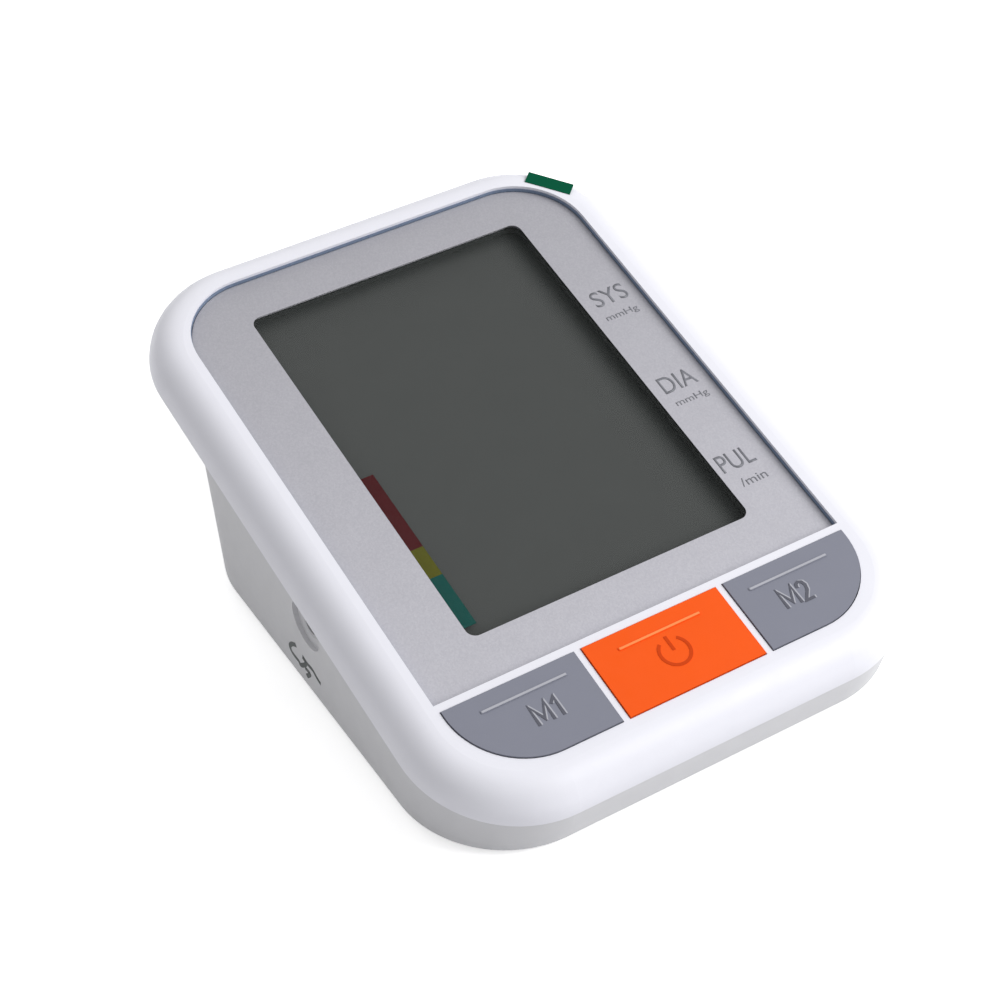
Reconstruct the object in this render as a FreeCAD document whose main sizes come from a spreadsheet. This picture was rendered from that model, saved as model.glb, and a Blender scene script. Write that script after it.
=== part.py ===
"""Desktop upper-arm blood pressure monitor, built as a parametric FreeCAD document.

Two frames are used, both in millimetres.
The table frame is the part's own: X to the right, Y to the back, Z up, with the origin
on the table below the middle of the monitor.
The face frame lies on the sloping rim of the upper casing: x to the right, y up the
slope from the front edge, z square to the face. It starts at rim_y, rim_front_height.
"""
import FreeCAD, Part
import math
import os
import re

import Sketcher
from FreeCAD import Placement, Rotation, Vector

# Driving dimensions, in millimetres and degrees. Each one is a cell of the sheet "Size".
DRIVING = {
    # the sloping face
    "face_tilt": 13.3,
    "rim_front_height": 17.1,
    "window_width": 62.4,
    "window_length": 86.2,
    "window_shift": 0.4,
    "border_side": 13.5,
    "border_front": 10.1,
    "border_back": 9.8,
    "margin_side": 8.6,
    "margin_front": 8.9,
    "margin_back": 7.35,
    # the upper casing
    "corner_radius": 23.0,
    "rim_roundover": 6.8,
    "seam_depth": 7.2,
    "upper_wall": 1.8,
    "recess_corner": 15.0,
    "recess_wall": 1.2,
    "recess_front_wall": 1.0,
    "recess_floor": 1.2,
    "window_radius": 2.0,
    "opening_margin": 1.0,
    # the lens
    "lens_thickness": 1.5,
    "lens_recess": 1.5,
    "lens_gap": 0.15,
    "lens_front_corner": 0.8,
    # the coloured strip beside the display
    "strip_width": 3.1,
    "strip_length": 38.7,
    "strip_start": 3.4,
    "strip_inset": 0.3,
    "strip_thickness": 0.1,
    # the keys
    "key_length": 16.5,
    "key_bar": 1.8,
    "key_divider": 1.65,
    "key_side_inset": 0.5,
    "power_key_width": 29.7,
    "key_corner": 15.5,
    "key_gap": 0.2,
    "key_proud": 0.3,
    "key_travel": 0.4,
    "key_wall": 1.4,
    "key_skin": 1.8,
    "key_post_radius": 1.8,
    "key_tab_width": 9.0,
    "key_tab_thickness": 1.0,
    "key_tab_reach": 1.4,
    "key_tab_gap": 0.1,
    "key_rib_length": 18.0,
    "key_rib_width": 0.7,
    "key_rib_height": 0.15,
    "key_rib_setback": 3.1,
    "side_rib_shift": 1.25,
    # the display
    "glass_margin": 2.5,
    "glass_thickness": 2.0,
    "holder_wall": 1.4,
    "holder_lip": 0.6,
    "holder_ledge": 2.2,
    "holder_gap": 0.2,
    "holder_leg_width": 1.4,
    "holder_leg_length": 4.0,
    "holder_leg_front": 5.0,
    "holder_leg_pitch": 26.0,
    "connector_length": 56.0,
    "connector_width": 2.0,
    "connector_inset": 0.8,
    # the circuit board
    "board_gap": 0.8,
    "board_thickness": 1.6,
    "board_front": 5.0,
    "board_length": 71.0,
    "board_corner": 18.0,
    "board_boss_gap": 1.4,
    "post_radius": 2.5,
    "post_clearance": 1.55,
    "post_front": 30.5,
    "post_back_inset": 4.0,
    "board_screw_radius": 0.95,
    "board_screw_head": 1.9,
    "board_screw_head_height": 1.2,
    "board_screw_grip": 3.6,
    "screw_clearance": 0.05,
    "board_hole_clearance": 0.2,
    "switch_size": 6.0,
    "switch_height": 3.4,
    "stem_radius": 1.7,
    "stem_proud": 0.7,
    "stem_depth": 1.1,
    "stem_clearance": 0.08,
    "stem_bore_depth": 1.7,
    "chip_size": 12.0,
    "chip_height": 1.4,
    "chip_x": 6.0,
    "chip_back_gap": 2.35,
    "buzzer_radius": 6.0,
    "buzzer_height": 5.5,
    "buzzer_x": 27.0,
    "buzzer_back_gap": 4.35,
    "buzzer_vent_radius": 1.0,
    "capacitor_radius": 4.0,
    "capacitor_height": 8.0,
    "capacitor_x": -12.0,
    "capacitor_back_gap": 8.35,
    "header_width": 5.0,
    "header_length": 4.0,
    "header_height": 3.6,
    "header_x": -26.5,
    "header_setback": 60.0,
    "sensor_size": 7.0,
    "sensor_height": 4.0,
    "sensor_x": -31.0,
    # the lower casing
    "lower_inset": 0.4,
    "lower_draft": 2.0,
    "lower_wall": 2.4,
    "lower_corner": 22.0,
    "bottom_edge_radius": 1.6,
    "foot_stand": 0.8,
    "lip_gap": 0.15,
    "lip_height": 1.5,
    "lip_root": 0.8,
    "shelf_thickness": 1.6,
    "shelf_edge_radius": 1.2,
    # the casing screws
    "boss_side_inset": 6.15,
    "boss_front": 27.0,
    "boss_back_inset_x": 7.0,
    "boss_back_inset_y": 19.6,
    "upper_boss_radius": 3.2,
    "lower_boss_radius": 3.4,
    "boss_joint_depth": 9.0,
    "boss_web": 4.0,
    "shelf_boss_depth": 9.6,
    "shelf_web": 1.2,
    "screw_radius": 1.25,
    "screw_head_radius": 2.2,
    "screw_head_height": 1.1,
    "screw_bite": 3.6,
    "head_clearance": 0.25,
    # the battery bay
    "cell_diameter": 14.3,
    "cell_length": 49.2,
    "cell_button_radius": 2.75,
    "cell_button_height": 1.0,
    "cell_pitch": 14.9,
    "cell_gap": 0.3,
    "bay_side_gap": 0.4,
    "box_wall": 1.2,
    "box_clearance": 0.6,
    "box_side_inset": 9.7,
    "box_root": 1.4,
    "box_back_gap": 7.1,
    "contact_thickness": 0.4,
    "contact_size": 10.0,
    "contact_tab_width": 2.0,
    "contact_slot_gap": 0.2,
    "contact_board_gap": 0.2,
    "spring_wire": 0.55,
    "spring_radius": 3.6,
    "spring_shrink": 0.3,
    "spring_length": 3.7,
    # the battery door
    "door_thickness": 1.8,
    "door_gap": 0.25,
    "hook_width": 6.0,
    "hook_pitch": 30.0,
    "hook_thickness": 1.0,
    "hook_reach": 1.6,
    "hook_root": 1.2,
    "hook_lift": 0.1,
    "hook_slot_gap": 0.3,
    "hook_swing": 0.9,
    "latch_width": 14.0,
    "latch_height": 5.0,
    "latch_thickness": 1.2,
    "latch_reach": 1.5,
    "latch_room": 0.5,
    "grip_width": 18.0,
    "grip_length": 1.4,
    "grip_depth": 0.7,
    "grip_pitch": 3.0,
    # the feet
    "foot_radius": 3.0,
    "foot_thickness": 1.6,
    "foot_gap": 0.1,
    "foot_side_inset": 7.3,
    "foot_front_side_inset": 15.0,
    "foot_front_inset": 16.5,
    "foot_back_inset": 20.0,
    # the air pump
    "pump_radius": 10.2,
    "pump_rest": 0.1,
    "pump_clearance": 0.8,
    "pump_back_gap": 4.1,
    "motor_length": 20.0,
    "motor_wall": 1.0,
    "magnet_thickness": 0.9,
    "magnet_end_gap": 3.0,
    "rotor_gap": 0.5,
    "shaft_radius": 1.0,
    "shaft_clearance": 0.05,
    "bearing_radius": 2.6,
    "head_length": 11.0,
    "head_wall": 1.5,
    "eccentric_radius": 3.4,
    "eccentric_throw": 1.0,
    "eccentric_thickness": 3.0,
    "eccentric_gap": 1.0,
    "pump_port_offset": 6.5,
    "cradle_thickness": 2.0,
    "cradle_height": 9.0,
    "cradle_pitch": 20.0,
    "cradle_front": 7.0,
    "terminal_width": 3.0,
    "terminal_height": 4.4,
    "terminal_length": 3.0,
    "terminal_setback": 9.0,
    # the air lines
    "socket_setback": 58.8,
    "socket_depth": 10.4,
    "socket_radius": 3.0,
    "socket_length": 8.6,
    "socket_fit": 0.05,
    "socket_bore": 2.25,
    "socket_bore_length": 7.6,
    "socket_recess_radius": 5.2,
    "socket_face_inset": 1.6,
    "manifold_inset": 8.8,
    "manifold_z": 8.6,
    "manifold_size": 6.0,
    "port_radius": 1.25,
    "port_bore": 0.7,
    "port_length": 2.0,
    "port_gap": 0.5,
    "hose_radius": 2.1,
    "hose_fit": 0.05,
    "hose_end_gap": 0.1,
    "hose_bend_start": 2.0,
    # the exhaust valve
    "valve_width": 9.6,
    "valve_length": 12.0,
    "valve_height": 9.8,
    "valve_plate": 1.0,
    "coil_radius": 4.1,
    "plunger_radius": 1.9,
    "plunger_clearance": 0.08,
    "plunger_inset": 3.0,
    "plunger_reach": 1.2,
    "plunger_travel": 0.8,
    "seat_length": 4.0,
    "seat_radius": 3.4,
    "seat_cavity_radius": 2.4,
    "plunger_end_gap": 0.2,
    # the power jack
    "jack_back_gap": 0.8,
    "jack_z": 10.4,
    "jack_width": 9.0,
    "jack_height": 7.6,
    "jack_length": 9.5,
    "jack_barrel_radius": 3.4,
    "jack_barrel_length": 2.2,
    "jack_fit": 0.1,
    "jack_bore": 2.8,
    "jack_bore_length": 9.0,
    "jack_pin_radius": 0.85,
    "jack_face_inset": 1.1,
    "jack_leg_gap": 0.2,
    "jack_leg_size": 0.8,
    # the wires
    "wire_radius": 0.45,
    "wire_spacing": 1.3,
    "wire_end_gap": 0.05,
    "wire_rise": 0.8,
    "wire_lead_in": 4.0,
    # the pull tab of the protective film
    "film_thickness": 0.15,
    "film_tab_start": 15.9,
    "film_tab_reach": 3.15,
    "film_tab_width": 10.0,
    "film_tab_angle": 42.0,
}

# Dimensions worked out from the driving ones, as formulas of the same sheet.
DERIVED = {
    "recess_width": "window_width + 2 * border_side",
    "recess_length": "border_front + window_length + border_back",
    "recess_front": "margin_front + key_length + key_bar",
    "recess_depth": "lens_recess + lens_thickness",
    "casing_width": "recess_width + 2 * margin_side",
    "casing_length": "recess_front + recess_length + margin_back",
    "half_width": "casing_width / 2",
    "window_front": "recess_front + border_front",
    "window_left": "window_shift - window_width / 2",
    # where the face frame starts, so that the origin is below the middle of the casing
    "rim_front_reach": "rim_roundover * (cos(face_tilt) + sin(face_tilt) - 1)",
    "rim_back_reach": "casing_length * cos(face_tilt) + seam_depth * sin(face_tilt)",
    "rim_y": "-(rim_front_reach + rim_back_reach) / 2",
    # depths below the rim
    "floor_under": "recess_depth + recess_floor",
    "glass_under": "floor_under + glass_thickness",
    "holder_under": "glass_under + holder_lip",
    "board_top": "holder_under + board_gap",
    "board_under": "board_top + board_thickness",
    "key_under": "floor_under + key_tab_gap + key_tab_thickness",
    "key_front_tab_top": "upper_wall + key_tab_gap",
    "switch_top": "board_top - switch_height",
    "stem_top": "switch_top - stem_proud",
    # the keys
    "side_key_width": "(recess_width - power_key_width) / 2 - key_divider - key_side_inset",
    "side_key_x": "power_key_width / 2 + key_divider",
    "key_tab_inset": "key_gap + 2",
    # the display
    "glass_width": "window_width + 2 * glass_margin",
    "glass_length": "window_length + 2 * glass_margin",
    "glass_left": "window_left - glass_margin",
    "glass_front": "window_front - glass_margin",
    "holder_reach": "holder_gap + holder_wall",
    "post_x": "window_shift + glass_width / 2 + holder_reach + post_clearance + post_radius",
    "boss_x": "half_width - boss_side_inset",
    "boss_back_x": "half_width - boss_back_inset_x",
    "boss_back": "casing_length - boss_back_inset_y",
    "board_width": "2 * (boss_x - lower_boss_radius - board_boss_gap)",
    "post_back": "board_front + board_length - post_back_inset",
    # heights above the table
    "base_top": "foot_stand + lower_wall",
    "cell_z": "foot_stand + door_thickness + cell_gap + cell_diameter / 2",
    "bay_top": "cell_z + cell_diameter / 2 + cell_gap",
    "box_top": "bay_top + box_wall",
    # the battery box reaches forward until its top would meet the sloping board
    "board_line": "board_under / cos(face_tilt) - rim_front_height",
    "box_front_y": "rim_y + (box_top + box_clearance + board_line) / tan(face_tilt)",
    "bay_front_y": "box_front_y + box_wall",
    # the parts under the board stand in front of the battery box's upper edge
    "box_edge_run": "(box_front_y - rim_y) * cos(face_tilt)",
    "box_edge": "box_edge_run + (box_top - rim_front_height) * sin(face_tilt)",
    "chip_setback": "box_edge - chip_back_gap - chip_size / 2",
    "buzzer_setback": "box_edge - buzzer_back_gap - buzzer_radius",
    "capacitor_setback": "box_edge - capacitor_back_gap - capacitor_radius",
    "cell_span": "cell_length + cell_button_height",
    "bay_length": "cell_span + spring_length + 2 * contact_thickness",
    "bay_back_y": "bay_front_y + bay_length",
    "bay_width": "4 * cell_pitch + 2 * bay_side_gap",
    "box_right": "half_width - box_side_inset",
    "bay_right": "box_right - box_wall",
    "bay_left": "bay_right - bay_width",
    "box_left": "bay_left - box_wall",
    "cell_front_y": "bay_front_y + contact_thickness",
    "door_x": "(bay_left + bay_right) / 2",
    # the back wall of the lower casing stands just behind the battery bay
    "back_foot_y": "bay_back_y + box_wall + box_back_gap + lower_wall",
    "draft_slope": "tan(lower_draft)",
    "seam_front_z": "rim_front_height - seam_depth * cos(face_tilt)",
    "back_line": "back_foot_y + (seam_front_z - foot_stand) * draft_slope",
    "back_run": "back_line - rim_y - seam_depth * sin(face_tilt)",
    "lower_reach": "back_run / (cos(face_tilt) - sin(face_tilt) * draft_slope)",
    "lip_inset": "upper_wall + lip_gap",
    "lip_inner_inset": "lower_inset + lower_wall",
    # the table plane, seen from the face frame
    "table_origin_y": "-rim_y * cos(face_tilt) + (foot_stand - rim_front_height) * sin(face_tilt)",
    "table_origin_z": "rim_y * sin(face_tilt) + (foot_stand - rim_front_height) * cos(face_tilt)",
    # the air pump
    "pump_x": "box_left - pump_clearance - pump_radius",
    "pump_z": "base_top + pump_rest + pump_radius",
    "motor_back_y": "back_foot_y - lower_wall - pump_back_gap",
    "motor_front_y": "motor_back_y - motor_length",
    "head_front_y": "motor_front_y - head_length",
    "magnet_outer": "pump_radius - motor_wall",
    "magnet_inner": "magnet_outer - magnet_thickness",
    "rotor_radius": "magnet_inner - rotor_gap",
    "magnet_length": "motor_length - 2 * magnet_end_gap",
    "eccentric_back_y": "motor_front_y - eccentric_gap",
    # the air lines
    "socket_y": "rim_y + socket_setback * cos(face_tilt) + socket_depth * sin(face_tilt)",
    "socket_rise": "socket_setback * sin(face_tilt) - socket_depth * cos(face_tilt)",
    "socket_z": "rim_front_height + socket_rise",
    "socket_face_x": "half_width - socket_face_inset",
    "manifold_x": "manifold_inset - half_width",
    "manifold_half": "manifold_size / 2",
    "hose_bore": "port_radius + hose_fit",
    "sensor_setback": "(socket_y - rim_y) * cos(face_tilt) + sensor_drop * sin(face_tilt)",
    "sensor_drop": "manifold_z - rim_front_height",
    "pump_port_x": "pump_x - pump_port_offset",
    "manifold_port_end": "manifold_half + port_length",
    # the socket's spigot and the port below it share the room between them
    "spigot_room": "socket_z - socket_radius - manifold_z - manifold_half - port_gap",
    "spigot_length": "spigot_room / 2",
    "valve_port_y": "socket_y - manifold_port_end - port_gap - port_length",
    "valve_back_y": "valve_port_y - seat_length",
    "valve_front_y": "valve_back_y - valve_length",
    "plunger_front_y": "valve_front_y + plunger_inset",
    "plunger_back_y": "valve_back_y + plunger_reach",
    "seat_cavity_depth": "plunger_reach + plunger_travel + plunger_end_gap",
    # the power jack
    "jack_y": "box_front_y - jack_back_gap - jack_width / 2",
    "jack_face_x": "half_width - jack_face_inset",
}

ALL_SIZES = {**DRIVING, **DERIVED}
WORD = re.compile(r"[a-z][a-z0-9_]*")
TURN_TO_AXIS = {
    "X": Rotation(Vector(0, 1, 0), 90),
    "Y": Rotation(Vector(1, 0, 0), -90),
    "Z": Rotation(),
}

doc = FreeCAD.newDocument("blood_pressure_monitor")
sheet = doc.addObject("Spreadsheet::Sheet", "Size")
nodes = []


def fill_sheet():
    """Write the driving numbers and the formulas, each with its alias."""
    for row, (alias, number) in enumerate(DRIVING.items(), start=1):
        sheet.set(f"A{row}", alias)
        sheet.set(f"B{row}", str(number))
        sheet.setAlias(f"B{row}", alias)
    for row, (alias, formula) in enumerate(DERIVED.items(), start=1):
        sheet.set(f"D{row}", alias)
        sheet.set(f"E{row}", "=" + formula)
        sheet.setAlias(f"E{row}", alias)
    doc.recompute()


def formula(text):
    """Turn a formula in plain size names into one that points at the sheet."""
    def point(match):
        word = match.group()
        return f"Size.{word}" if word in ALL_SIZES else word
    return WORD.sub(point, str(text))


def number(text):
    """Value of a formula of size names, as a plain number."""
    result = sheet.evalExpression(formula(text))
    return float(getattr(result, "Value", result))


def bind(thing, **formulas):
    """Tie properties of an object to formulas of the sheet's sizes."""
    for name, text in formulas.items():
        thing.setExpression(name, formula(text))


def place(thing, corner, turn=None):
    """Put an object at a corner given by three formulas, turned by a fixed rotation."""
    if turn is not None:
        thing.Placement = Placement(Vector(), turn)
    for axis, text in zip("xyz", corner):
        thing.setExpression(f"Placement.Base.{axis}", formula(text))
    return thing


def box(name, corner, size):
    """Box from its low corner and its three lengths."""
    solid = doc.addObject("Part::Box", name)
    bind(solid, Length=size[0], Width=size[1], Height=size[2])
    return place(solid, corner)


def rod(name, start, radius, length, axis="Z"):
    """Round bar from the centre of its first end, along +X, +Y or +Z."""
    solid = doc.addObject("Part::Cylinder", name)
    bind(solid, Radius=radius, Height=length)
    return place(solid, start, TURN_TO_AXIS[axis])


def join(name, *pieces):
    """One solid from several that overlap."""
    fused = doc.addObject("Part::MultiFuse", name)
    fused.Shapes = list(pieces)
    fused.Refine = True
    return fused


def group(name, *pieces):
    """Separate solids that share one node."""
    compound = doc.addObject("Part::Compound", name)
    compound.Links = list(pieces)
    return compound


def cut(name, base, *tools):
    """Base with every tool taken away."""
    result = doc.addObject("Part::Cut", name)
    result.Base = base
    result.Tool = tools[0] if len(tools) == 1 else join(name + "_tools", *tools)
    result.Refine = True
    return result


def on_face(thing):
    """Move an object from the face frame to its place on the sloping face."""
    thing.Placement = Placement(Vector(), Rotation(Vector(1, 0, 0), 1))
    thing.setExpression("Placement.Rotation.Angle", formula("face_tilt"))
    thing.setExpression("Placement.Base.y", formula("rim_y"))
    thing.setExpression("Placement.Base.z", formula("rim_front_height"))
    return thing


def keep(thing, name, sloping=False):
    """Name a finished sub-part and list it for writing."""
    if sloping:
        on_face(thing)
    thing.Label = name
    nodes.append(thing)
    return thing


def new_body(name):
    """Empty PartDesign body."""
    return doc.addObject("PartDesign::Body", name + "_body")


def sketch_on(body, name, corner):
    """Empty sketch on the body's XY plane, moved to a corner given by formulas."""
    sketch = body.newObject("Sketcher::SketchObject", name)
    plane = [item for item in body.Origin.OriginFeatures if item.Role == "XY_Plane"][0]
    sketch.AttachmentSupport = [(plane, "")]
    sketch.MapMode = "FlatFace"
    for axis, text in zip("xyz", corner):
        sketch.setExpression(f"AttachmentOffset.Base.{axis}", formula(text))
    return sketch


def outline(body, name, corner, width, length, radii=(None, None, None, None)):
    """Sketch of a rectangle whose corners are sharp or round.

    radii runs front left, front right, back right, back left.
    """
    sketch = sketch_on(body, name, corner)
    wide, long = number(width), number(length)
    rounds = [0.0 if radius is None else number(radius) for radius in radii]
    corners = [(0, 0), (wide, 0), (wide, long), (0, long)]
    inward = [(1, 1), (-1, 1), (-1, -1), (1, -1)]
    steps = [(1, 0), (0, 1), (-1, 0), (0, -1)]
    lines = []
    for side in range(4):
        after = (side + 1) % 4
        step = steps[side]
        start = Vector(*corners[side]) + Vector(*step) * rounds[side]
        end = Vector(*corners[after]) - Vector(*step) * rounds[after]
        lines.append(sketch.addGeometry(Part.LineSegment(start, end)))
        direction = "Horizontal" if side % 2 == 0 else "Vertical"
        sketch.addConstraint(Sketcher.Constraint(direction, lines[side]))
    for side in range(4):
        before = lines[side - 1]
        if radii[side] is None:
            sketch.addConstraint(Sketcher.Constraint("Coincident", before, 2, lines[side], 1))
            continue
        turn = inward[side]
        centre = Vector(*corners[side]) + Vector(*turn) * rounds[side]
        circle = Part.Circle(centre, Vector(0, 0, 1), rounds[side])
        first = math.radians(180 + 90 * side)
        arc = sketch.addGeometry(Part.ArcOfCircle(circle, first, first + math.pi / 2))
        sketch.addConstraint(Sketcher.Constraint("Tangent", before, 2, arc, 1))
        sketch.addConstraint(Sketcher.Constraint("Tangent", arc, 2, lines[side], 1))
        row = sketch.addConstraint(Sketcher.Constraint("Radius", arc, rounds[side]))
        sketch.setExpression(f"Constraints[{row}]", formula(radii[side]))
    sketch.addConstraint(Sketcher.Constraint("PointOnObject", lines[0], 1, -1))
    sketch.addConstraint(Sketcher.Constraint("PointOnObject", lines[3], 1, -2))
    row = sketch.addConstraint(Sketcher.Constraint("DistanceX", -1, 1, lines[1], 1, wide))
    sketch.setExpression(f"Constraints[{row}]", formula(width))
    row = sketch.addConstraint(Sketcher.Constraint("DistanceY", -1, 1, lines[2], 1, long))
    sketch.setExpression(f"Constraints[{row}]", formula(length))
    return sketch


def disc(body, name, centre, radius):
    """Sketch of one circle."""
    sketch = sketch_on(body, name, centre)
    circle = Part.Circle(Vector(), Vector(0, 0, 1), number(radius))
    ring = sketch.addGeometry(circle)
    sketch.addConstraint(Sketcher.Constraint("Coincident", ring, 3, -1, 1))
    row = sketch.addConstraint(Sketcher.Constraint("Radius", ring, number(radius)))
    sketch.setExpression(f"Constraints[{row}]", formula(radius))
    return sketch


def pad(body, name, sketch, length):
    """Raise a sketch along +z."""
    feature = body.newObject("PartDesign::Pad", name)
    feature.Profile = sketch
    bind(feature, Length=length)
    doc.recompute()
    return feature


def pocket(body, name, sketch, depth):
    """Cut a sketch down along -z."""
    feature = body.newObject("PartDesign::Pocket", name)
    feature.Profile = sketch
    bind(feature, Length=depth)
    doc.recompute()
    return feature


def edges_where(feature, test):
    """Names of a feature's edges that pass a test."""
    edges = feature.Shape.Edges
    return [f"Edge{index}" for index, edge in enumerate(edges, start=1) if test(edge)]


def round_edges(body, name, feature, test, radius):
    """Fillet the edges of a feature that pass a test."""
    fillet = body.newObject("PartDesign::Fillet", name)
    fillet.Base = (feature, edges_where(feature, test))
    bind(fillet, Radius=radius)
    doc.recompute()
    return fillet


def is_upright(edge):
    """True for a straight edge that runs mostly along z."""
    span = edge.BoundBox
    return span.ZLength > 1.0 and span.ZLength > 2 * max(span.XLength, span.YLength)


def at_height(level):
    """Test for edges that lie whole at one z."""
    def test(edge):
        span = edge.BoundBox
        return abs(span.ZMin - level) < 1e-4 and abs(span.ZMax - level) < 1e-4
    return test


def route(points, reach=0.45):
    """Wire of straight runs joined by tangent arcs as large as the runs allow."""
    edges = []
    start = points[0]
    for before, corner, after in zip(points, points[1:], points[2:]):
        arriving = (corner - before).normalize()
        leaving = (after - corner).normalize()
        turn = arriving.getAngle(leaving)
        setback = reach * min((corner - before).Length, (after - corner).Length)
        radius = setback / math.tan(turn / 2)
        first = corner - arriving * setback
        last = corner + leaving * setback
        bisector = (leaving - arriving).normalize()
        centre = corner + bisector * math.hypot(radius, setback)
        middle = centre - bisector * radius
        edges.append(Part.LineSegment(start, first).toShape())
        edges.append(Part.Arc(first, middle, last).toShape())
        start = last
    edges.append(Part.LineSegment(start, points[-1]).toShape())
    return Part.Wire(edges)


def sweep(points, radius, reach=0.45):
    """Solid round bar along a route."""
    wire = route(points, reach)
    heading = (points[1] - points[0]).normalize()
    circle = Part.Circle(points[0], heading, radius)
    profile = Part.Wire([circle.toShape()])
    return wire.makePipeShell([profile], True, False)


def tube(name, points, outer, inner, reach=0.45):
    """Hollow hose along a route, as a feature of its own."""
    shape = sweep(points, outer, reach).cut(sweep(points, inner, reach))
    feature = doc.addObject("Part::Feature", name)
    feature.Shape = shape
    return feature


def from_face(x, setback, height):
    """Table-frame point of a place on the sloping face."""
    tilt = math.radians(number("face_tilt"))
    y = number("rim_y") + setback * math.cos(tilt) - height * math.sin(tilt)
    z = number("rim_front_height") + setback * math.sin(tilt) + height * math.cos(tilt)
    return Vector(x, y, z)


def casing_block(name, growth):
    """Solid block with the outer form of the upper casing, grown on every side."""
    body = new_body(name)
    grown = f"{growth}"
    corner = (f"-half_width - {grown}", f"-{grown}", "-seam_depth")
    sketch = outline(body, name + "_outline", corner,
                     f"casing_width + 2 * {grown}", f"casing_length + 2 * {grown}")
    block = pad(body, name + "_block", sketch, f"seam_depth + {grown}")
    corners = round_edges(body, name + "_corners", block, is_upright, f"corner_radius + {grown}")
    top = at_height(number(grown))
    round_edges(body, name + "_roundover", corners, top, f"rim_roundover + {grown}")
    return body


# ---------------------------------------------------------------- keys and their places

KEYS = {
    "m1": {
        "left": "-side_key_x - side_key_width",
        "width": "side_key_width",
        "radii": ("key_corner", None, None, None),
        "tab": "-side_key_x - key_tab_inset - key_tab_width",
        "rib": "-side_key_x - side_key_width / 2 + side_rib_shift",
    },
    "power": {
        "left": "-power_key_width / 2",
        "width": "power_key_width",
        "radii": (None, None, None, None),
        "tab": "-key_tab_width / 2",
        "rib": "0",
    },
    "m2": {
        "left": "side_key_x",
        "width": "side_key_width",
        "radii": (None, "key_corner", None, None),
        "tab": "side_key_x + key_tab_inset",
        "rib": "side_key_x + side_key_width / 2 - side_rib_shift",
    },
}


def key_centre(key):
    """Formula of the x at the middle of a key."""
    return f"({key['left']}) + ({key['width']}) / 2"


def wider(radii, change):
    """Corner radii changed by a formula, with sharp corners left sharp."""
    return tuple(None if radius is None else f"{radius} {change}" for radius in radii)


# --------------------------------------------------------------------- the upper casing

FRONT_BOSSES = [("left", "-boss_x"), ("right", "boss_x")]
BACK_BOSSES = [("left", "-boss_back_x"), ("right", "boss_back_x")]
POSTS = [
    (side + end, x, y)
    for side, x in (("left_", "-post_x"), ("right_", "post_x"))
    for end, y in (("front", "post_front"), ("back", "post_back"))
]


def make_upper_casing():
    """Upper shell with the lens recess, key openings, screw bosses and board posts."""
    body = casing_block("upper_casing", 0)
    block = body.Tip
    bottom = number("-seam_depth")
    faces = [
        f"Face{index}"
        for index, face in enumerate(block.Shape.Faces, start=1)
        if face.BoundBox.ZMax < bottom + 1e-4
    ]
    shell = body.newObject("PartDesign::Thickness", "upper_shell")
    shell.Base = (block, faces)
    shell.Reversed = True
    bind(shell, Value="upper_wall")
    doc.recompute()

    tub_corner = "recess_corner + recess_wall"
    tub = outline(body, "recess_tub_outline",
                  ("-recess_width / 2 - recess_wall", "recess_front - recess_front_wall",
                   "-floor_under"),
                  "recess_width + 2 * recess_wall",
                  "recess_length + recess_front_wall + recess_wall",
                  (None, None, tub_corner, tub_corner))
    pad(body, "recess_tub", tub, "floor_under - upper_wall / 2")
    for side, x in FRONT_BOSSES:
        circle = disc(body, f"front_{side}_boss_disc", (x, "boss_front", "-boss_joint_depth"),
                      "upper_boss_radius")
        pad(body, f"front_{side}_boss", circle, "boss_joint_depth - upper_wall + 0.3")
    for side, x in BACK_BOSSES:
        circle = disc(body, f"back_{side}_boss_disc", (x, "boss_back", "-seam_depth"),
                      "upper_boss_radius")
        pad(body, f"back_{side}_boss", circle, "seam_depth - upper_wall + 0.3")
    for place_name, x, y in POSTS:
        circle = disc(body, f"{place_name}_post_disc", (x, y, "-board_top"), "post_radius")
        pad(body, f"{place_name}_post", circle, "board_top - floor_under + recess_floor / 2")

    recess = outline(body, "recess_outline", ("-recess_width / 2", "recess_front", 0),
                     "recess_width", "recess_length",
                     (None, None, "recess_corner", "recess_corner"))
    pocket(body, "recess", recess, "recess_depth")
    opening = outline(body, "display_opening_outline",
                      ("window_left - opening_margin", "window_front - opening_margin",
                       "-recess_depth"),
                      "window_width + 2 * opening_margin", "window_length + 2 * opening_margin",
                      ("window_radius",) * 4)
    pocket(body, "display_opening", opening, "recess_floor")
    for name, key in KEYS.items():
        hole = outline(body, f"{name}_opening_outline",
                       (f"{key['left']} - key_gap", "margin_front - key_gap", 0),
                       f"{key['width']} + 2 * key_gap", "key_length + 2 * key_gap",
                       wider(key["radii"], "+ key_gap"))
        pocket(body, f"{name}_opening", hole, "key_under + key_travel + key_gap")
    for side, x in FRONT_BOSSES:
        circle = disc(body, f"front_{side}_pilot_disc",
                      (x, "boss_front", "-(boss_joint_depth - screw_bite - head_clearance)"),
                      "screw_radius + screw_clearance")
        pocket(body, f"front_{side}_pilot", circle, "screw_bite + head_clearance")
    for side, x in BACK_BOSSES:
        circle = disc(body, f"back_{side}_pilot_disc",
                      (x, "boss_back", "-(seam_depth - screw_bite - head_clearance)"),
                      "screw_radius + screw_clearance")
        pocket(body, f"back_{side}_pilot", circle, "screw_bite + head_clearance")
    for place_name, x, y in POSTS:
        circle = disc(body, f"{place_name}_pilot_disc",
                      (x, y, "-(board_top - board_screw_grip - screw_clearance)"),
                      "board_screw_radius + screw_clearance")
        pocket(body, f"{place_name}_pilot", circle, "board_screw_grip + screw_clearance")
    keep(body, "upper_casing", sloping=True)


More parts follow.
